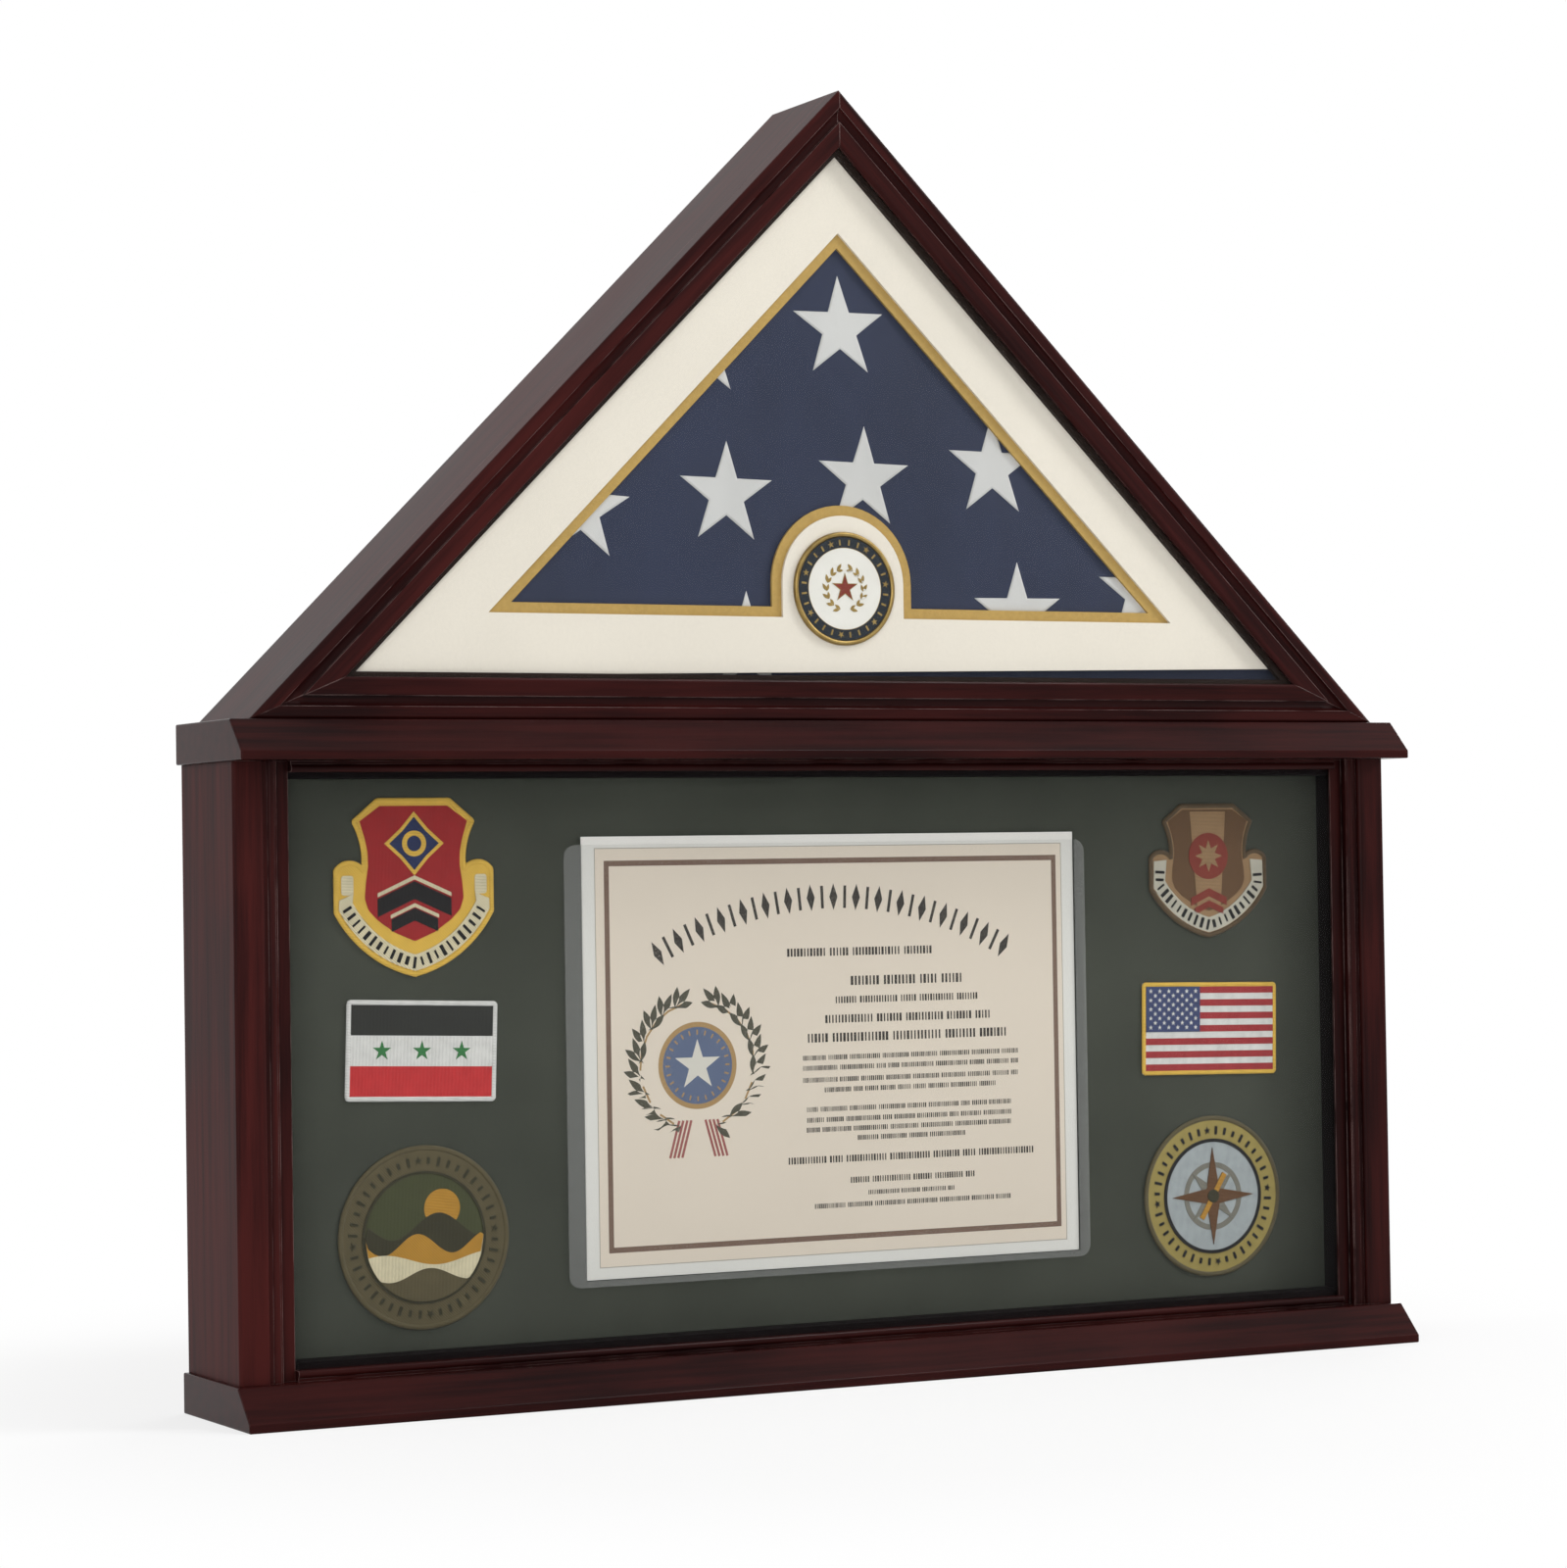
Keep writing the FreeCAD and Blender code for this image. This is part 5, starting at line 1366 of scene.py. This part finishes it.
class FLAGCASE_OT_sew_flag_patches(bpy.types.Operator):
    """Sew the banded patch with three stars and the striped patch with its starred corner"""

    bl_idname = "flagcase.sew_flag_patches"
    bl_label = "Sew flag patches"

    def execute(self, context):
        stitch = context.scene.flag_case.stitch
        left = Patch("left_flag_patch", "patch_white", stitch, math.radians(-2.0))
        inner_width, inner_height = self.base(left, "white")
        third = inner_height / 3
        left.sew("top_band", [bar(left.x, left.z + third, inner_width, third)], "charcoal", 1, "X")
        left.sew("middle_band", [bar(left.x, left.z, inner_width, third)], "white", 1, "X")
        left.sew("foot_band", [bar(left.x, left.z - third, inner_width, third)], "bright_red", 1, "X")
        stars = [star(left.x + side * 0.28 * inner_width, left.z, 0.34 * third) for side in (-1, 0, 1)]
        left.sew("stars", stars, "green", 2)

        right = Patch("right_flag_patch", "patch_white", stitch, math.radians(-1.2))
        inner_width, inner_height = self.base(right, "gold")
        stripe = inner_height / 13
        top = right.z + inner_height / 2
        stripes = [bar(right.x, top - (number + 0.5) * stripe, inner_width, stripe) for number in range(13)]
        right.sew("red_stripes", stripes[0::2], "crimson", 2, "X")
        right.sew("white_stripes", stripes[1::2], "white", 1, "X")
        corner_width, corner_height = 0.42 * inner_width, 7 * stripe
        corner_left = right.x - inner_width / 2
        middle = (corner_left + corner_width / 2, top - corner_height / 2)
        right.sew("corner", [bar(*middle, corner_width, corner_height)], "blue", 3)
        stars = []
        for row in range(9):
            for place in range(6 - row % 2):
                across = corner_left + corner_width * (2 * place + 1 + row % 2) / 12
                stars.append(star(across, top - corner_height * (row + 1) / 10, 1.35 * MM))
        right.sew("corner_stars", stars, "white", 4)
        return {"FINISHED"}

    @staticmethod
    def base(patch, edge):
        inset = patch.stitch.edge_width
        ground = rounded_bar(patch.x, patch.z, patch.width - 1.2 * MM, patch.height - 1.2 * MM, 0.8 * MM)
        patch.ground(ground, "white")
        line = rounded_bar(patch.x, patch.z, patch.width - inset, patch.height - inset, 0.9 * MM)
        patch.edge(line, edge)
        return patch.width - 1.7 * inset, patch.height - 1.7 * inset


class FLAGCASE_OT_sew_round_patches(bpy.types.Operator):
    """Sew the round patch of hills and the round patch with a compass star"""

    bl_idname = "flagcase.sew_round_patches"
    bl_label = "Sew round patches"

    def execute(self, context):
        stitch = context.scene.flag_case.stitch
        left = Patch("left_round_patch", "patch_olive", stitch)
        x, z, radius = left.x, left.z, left.width / 2
        self.base(left, "olive", "olive")
        field = 0.70 * radius
        left.sew("field", [disc(x, z, field)], "moss", 1, "X")
        left.sew("ring_line", [disc(x, z, field + 0.9 * MM), disc(x, z, field - 0.5 * MM)], "dark_olive", 3)
        left.sew("marks", self.ring_marks(x, z, 0.83 * radius, 44, 4.6 * MM), "dark_olive", 2)
        left.sew("sun", [disc(x + 0.30 * field, z + 0.44 * field, 0.30 * field)], "ochre", 1.5)
        left.sew("far_hills", [self.hills(x, z, field, 0.18, 0.20, 2.6, 0.6)], "dark_olive", 2, "X")
        left.sew("middle_hills", [self.hills(x, z, field, -0.10, 0.16, 3.4, 2.2)], "ochre", 3, "DIAGONAL")
        left.sew("river", [self.hills(x, z, field, -0.34, 0.09, 2.2, 4.0)], "cream", 4, "X")
        left.sew("near_hills", [self.hills(x, z, field, -0.58, 0.10, 3.0, 1.2)], "olive", 5, "X")

        right = Patch("right_round_patch", "patch_olive", stitch)
        x, z, radius = right.x, right.z, right.width / 2
        self.base(right, "olive", "straw")
        field = 0.68 * radius
        line = [disc(x, z, field + 1.4 * MM, SMOOTH), disc(x, z, field - 0.4 * MM, SMOOTH)]
        right.sew("inner_line", line, "black", 3)
        right.sew("marks", self.ring_marks(x, z, 0.815 * radius, 40, 4.4 * MM), "black", 2)
        right.sew("field", [disc(x, z, field)], "sky", 1, "X")
        right.sew("dial", [disc(x, z, 0.62 * field), disc(x, z, 0.52 * field)], "grey", 2, "DIAGONAL")
        right.sew("lesser_star", [star(x, z, 0.62 * field, math.pi / 4, tips=4, waist=0.26)], "grey", 3)
        right.sew("greater_star", [star(x, z, 0.88 * field, tips=4, waist=0.22)], "umber", 4)
        right.sew("needle", [bar(x, z, 0.10 * field, 0.95 * field, math.radians(-32))], "ochre", 5)
        right.sew("pivot", [disc(x, z, 0.12 * field, 24)], "dark_olive", 6)
        return {"FINISHED"}

    @staticmethod
    def base(patch, edge, ground):
        radius = patch.width / 2
        patch.ground(disc(patch.x, patch.z, radius - 0.6 * MM, SMOOTH), ground)
        patch.edge(disc(patch.x, patch.z, radius - patch.stitch.edge_width / 2, SMOOTH), edge)

    @staticmethod
    def ring_marks(x, z, radius, count, tall):
        marks = []
        for number in range(count):
            angle = 2 * math.pi * (number + 0.5) / count
            place = around(x, z, radius, angle)
            if number % (count // 4) == 0:
                marks.append(star(*place, 0.5 * tall, angle - math.pi / 2))
            else:
                marks.append(bar(*place, tall * (1.0, 0.7, 0.86)[number % 3], 1.5 * MM, angle))
        return marks

    @staticmethod
    def hills(x, z, radius, level, height, waves, start):
        """The part of a disc below a rolling line."""
        reach = radius * 0.985
        top = []
        for step in range(41):
            across = -1 + step / 20
            rise = level + height * math.sin(waves * across * math.pi / 2 + start)
            limit = math.sqrt(max(0.0, 1 - across * across))
            top.append((x + reach * across, z + reach * max(-limit, min(limit, rise))))
        return top + [around(x, z, reach, -math.pi * step / 40) for step in range(1, 40)]


# ---- the stage --------------------------------------------------------------------------------

# lamp, place and size; its power is a setting of the stage
LAMPS = (
    ("key", (2.85, -1.5, 1.9), 1.1),
    ("high", (1.25, -1.05, 2.4), 0.65),
    ("fill", (-2.0, -2.6, 1.0), 1.8),
    ("side", (-2.4, 0.4, 1.6), 1.8),
    ("back", (2.2, 2.4, 1.2), 1.8),
)
CAMERA_PLACE = (-0.98410, -1.86181, 0.25125)
CAMERA_TURN = {"yaw": 27.30089, "pitch": 1.24276, "roll": -0.88751}  # degrees
FLOOR_REACH = 8.0
NEAR_WHITE = 0.72  # share of plain white in the floor near the case, where its shadow shows


class FLAGCASE_OT_set_stage(bpy.types.Operator):
    """Lay the floor, light the room and place the camera"""

    bl_idname = "flagcase.set_stage"
    bl_label = "Set stage"

    def execute(self, context):
        stage = context.scene.flag_case.stage
        context.scene.view_settings.view_transform = "Standard"
        self.light_room(context.scene, stage)
        self.lay_floor()
        aim = Vector((0.0, 0.0, 0.3))
        for name, place, size in LAMPS:
            self.hang_lamp(f"{name}_lamp", place, aim, size, getattr(stage, name))
        self.place_camera(context.scene, stage)
        return {"FINISHED"}

    @staticmethod
    def light_room(scene, stage):
        """A white room to look at and to mirror, and an even light on matt surfaces."""
        scene.world = bpy.data.worlds.new("white_room")
        room = Finish(scene.world)
        shown = room.looked_at()
        shade = room.mix(shown + (1 - shown) * stage.ambient, (0.0, 0.0, 0.0), (1.0, 1.0, 1.0))
        room.feed(room.tree.nodes["Background"].inputs["Color"], shade)

    @staticmethod
    def lay_floor():
        near, far = -FLOOR_REACH, FLOOR_REACH
        corners = [(near, near, 0), (far, near, 0), (far, far, 0), (near, far, 0)]
        mesh = mesh_of("floor", corners, [(0, 1, 2, 3)])
        floor = bpy.data.objects.new("floor", mesh)
        bpy.context.scene.collection.objects.link(floor)
        finish = new_finish("pale_floor")
        place = finish.position()
        clear = finish.step(finish.vector("LENGTH", place, (0.0, 0.0, 0.0), 1), 0.33, 0.62)
        matt = finish.node("ShaderNodeBsdfDiffuse", None, {"Color": (0.86, 0.86, 0.86)})
        white = finish.node("ShaderNodeEmission", None, {"Color": (1.0, 1.0, 1.0), "Strength": 1.0})
        whiteness = finish.looked_at() * (NEAR_WHITE + (1 - NEAR_WHITE) * clear)
        shown = finish.node("ShaderNodeMixShader", None, {0: whiteness, 1: matt, 2: white})
        finish.feed(finish.tree.nodes["Material Output"].inputs["Surface"], shown)
        mesh.materials.append(finish.owner)

    @staticmethod
    def hang_lamp(name, place, aim, size, power):
        light = bpy.data.lights.new(name, "AREA")
        light.shape = "DISK"
        light.size = size
        light.energy = power
        lamp = bpy.data.objects.new(name, light)
        lamp.location = place
        lamp.rotation_euler = (aim - Vector(place)).to_track_quat("-Z", "Y").to_euler()
        bpy.context.scene.collection.objects.link(lamp)

    @staticmethod
    def place_camera(scene, stage):
        """Stands to the left of the case, a little lower than its cornice."""
        yaw, pitch, roll = (math.radians(CAMERA_TURN[name]) for name in ("yaw", "pitch", "roll"))
        ahead = Vector((math.sin(yaw) * math.cos(pitch), math.cos(yaw) * math.cos(pitch), math.sin(pitch)))
        across = Vector((math.cos(yaw), -math.sin(yaw), 0.0))
        above = across.cross(ahead)
        right = across * math.cos(roll) + above * math.sin(roll)
        up = above * math.cos(roll) - across * math.sin(roll)
        lens = bpy.data.cameras.new("photo_camera")
        lens.lens = stage.lens
        lens.sensor_width = 36.0
        camera = bpy.data.objects.new("photo_camera", lens)
        turned = Matrix((right, up, -ahead)).transposed().to_4x4()
        camera.matrix_world = Matrix.Translation(CAMERA_PLACE) @ turned
        scene.collection.objects.link(camera)
        scene.camera = camera


# ---- panel and run ----------------------------------------------------------------------------

SETTINGS = (WoodSettings, FlagSettings, PrintSettings, StitchSettings, StageSettings, CaseSettings)
STEPS = (
    FLAGCASE_OT_finish_wood, FLAGCASE_OT_glaze, FLAGCASE_OT_cover_boards, FLAGCASE_OT_lay_flag,
    FLAGCASE_OT_set_medallion, FLAGCASE_OT_print_certificate, FLAGCASE_OT_sew_crest_patches,
    FLAGCASE_OT_sew_flag_patches, FLAGCASE_OT_sew_round_patches, FLAGCASE_OT_fit_hardware,
    FLAGCASE_OT_set_stage,
)


class FLAGCASE_PT_steps(bpy.types.Panel):
    """The steps that dress the case"""

    bl_idname = "FLAGCASE_PT_steps"
    bl_label = "Flag case"
    bl_space_type = "VIEW_3D"
    bl_region_type = "UI"
    bl_category = "Flag case"

    def draw(self, context):
        settings = context.scene.flag_case
        for group in ("wood", "flag", "print", "stitch", "stage"):
            box = self.layout.box()
            values = getattr(settings, group)
            for name in values.bl_rna.properties.keys():
                if name not in {"rna_type", "name"}:
                    box.prop(values, name)
        for step in STEPS:
            self.layout.operator(step.bl_idname)


def register():
    for made in (*SETTINGS, *STEPS, FLAGCASE_PT_steps):
        bpy.utils.register_class(made)
    bpy.types.Scene.flag_case = bpy.props.PointerProperty(type=CaseSettings)


def unregister():
    del bpy.types.Scene.flag_case
    for made in reversed((*SETTINGS, *STEPS, FLAGCASE_PT_steps)):
        bpy.utils.unregister_class(made)


def main():
    register()
    bpy.ops.flagcase.finish_wood()
    bpy.ops.flagcase.glaze()
    bpy.ops.flagcase.cover_boards()
    bpy.ops.flagcase.lay_flag()
    bpy.ops.flagcase.set_medallion()
    bpy.ops.flagcase.print_certificate()
    bpy.ops.flagcase.sew_crest_patches()
    bpy.ops.flagcase.sew_flag_patches()
    bpy.ops.flagcase.sew_round_patches()
    bpy.ops.flagcase.fit_hardware()
    bpy.ops.flagcase.set_stage()


if __name__ == "__main__":
    main()
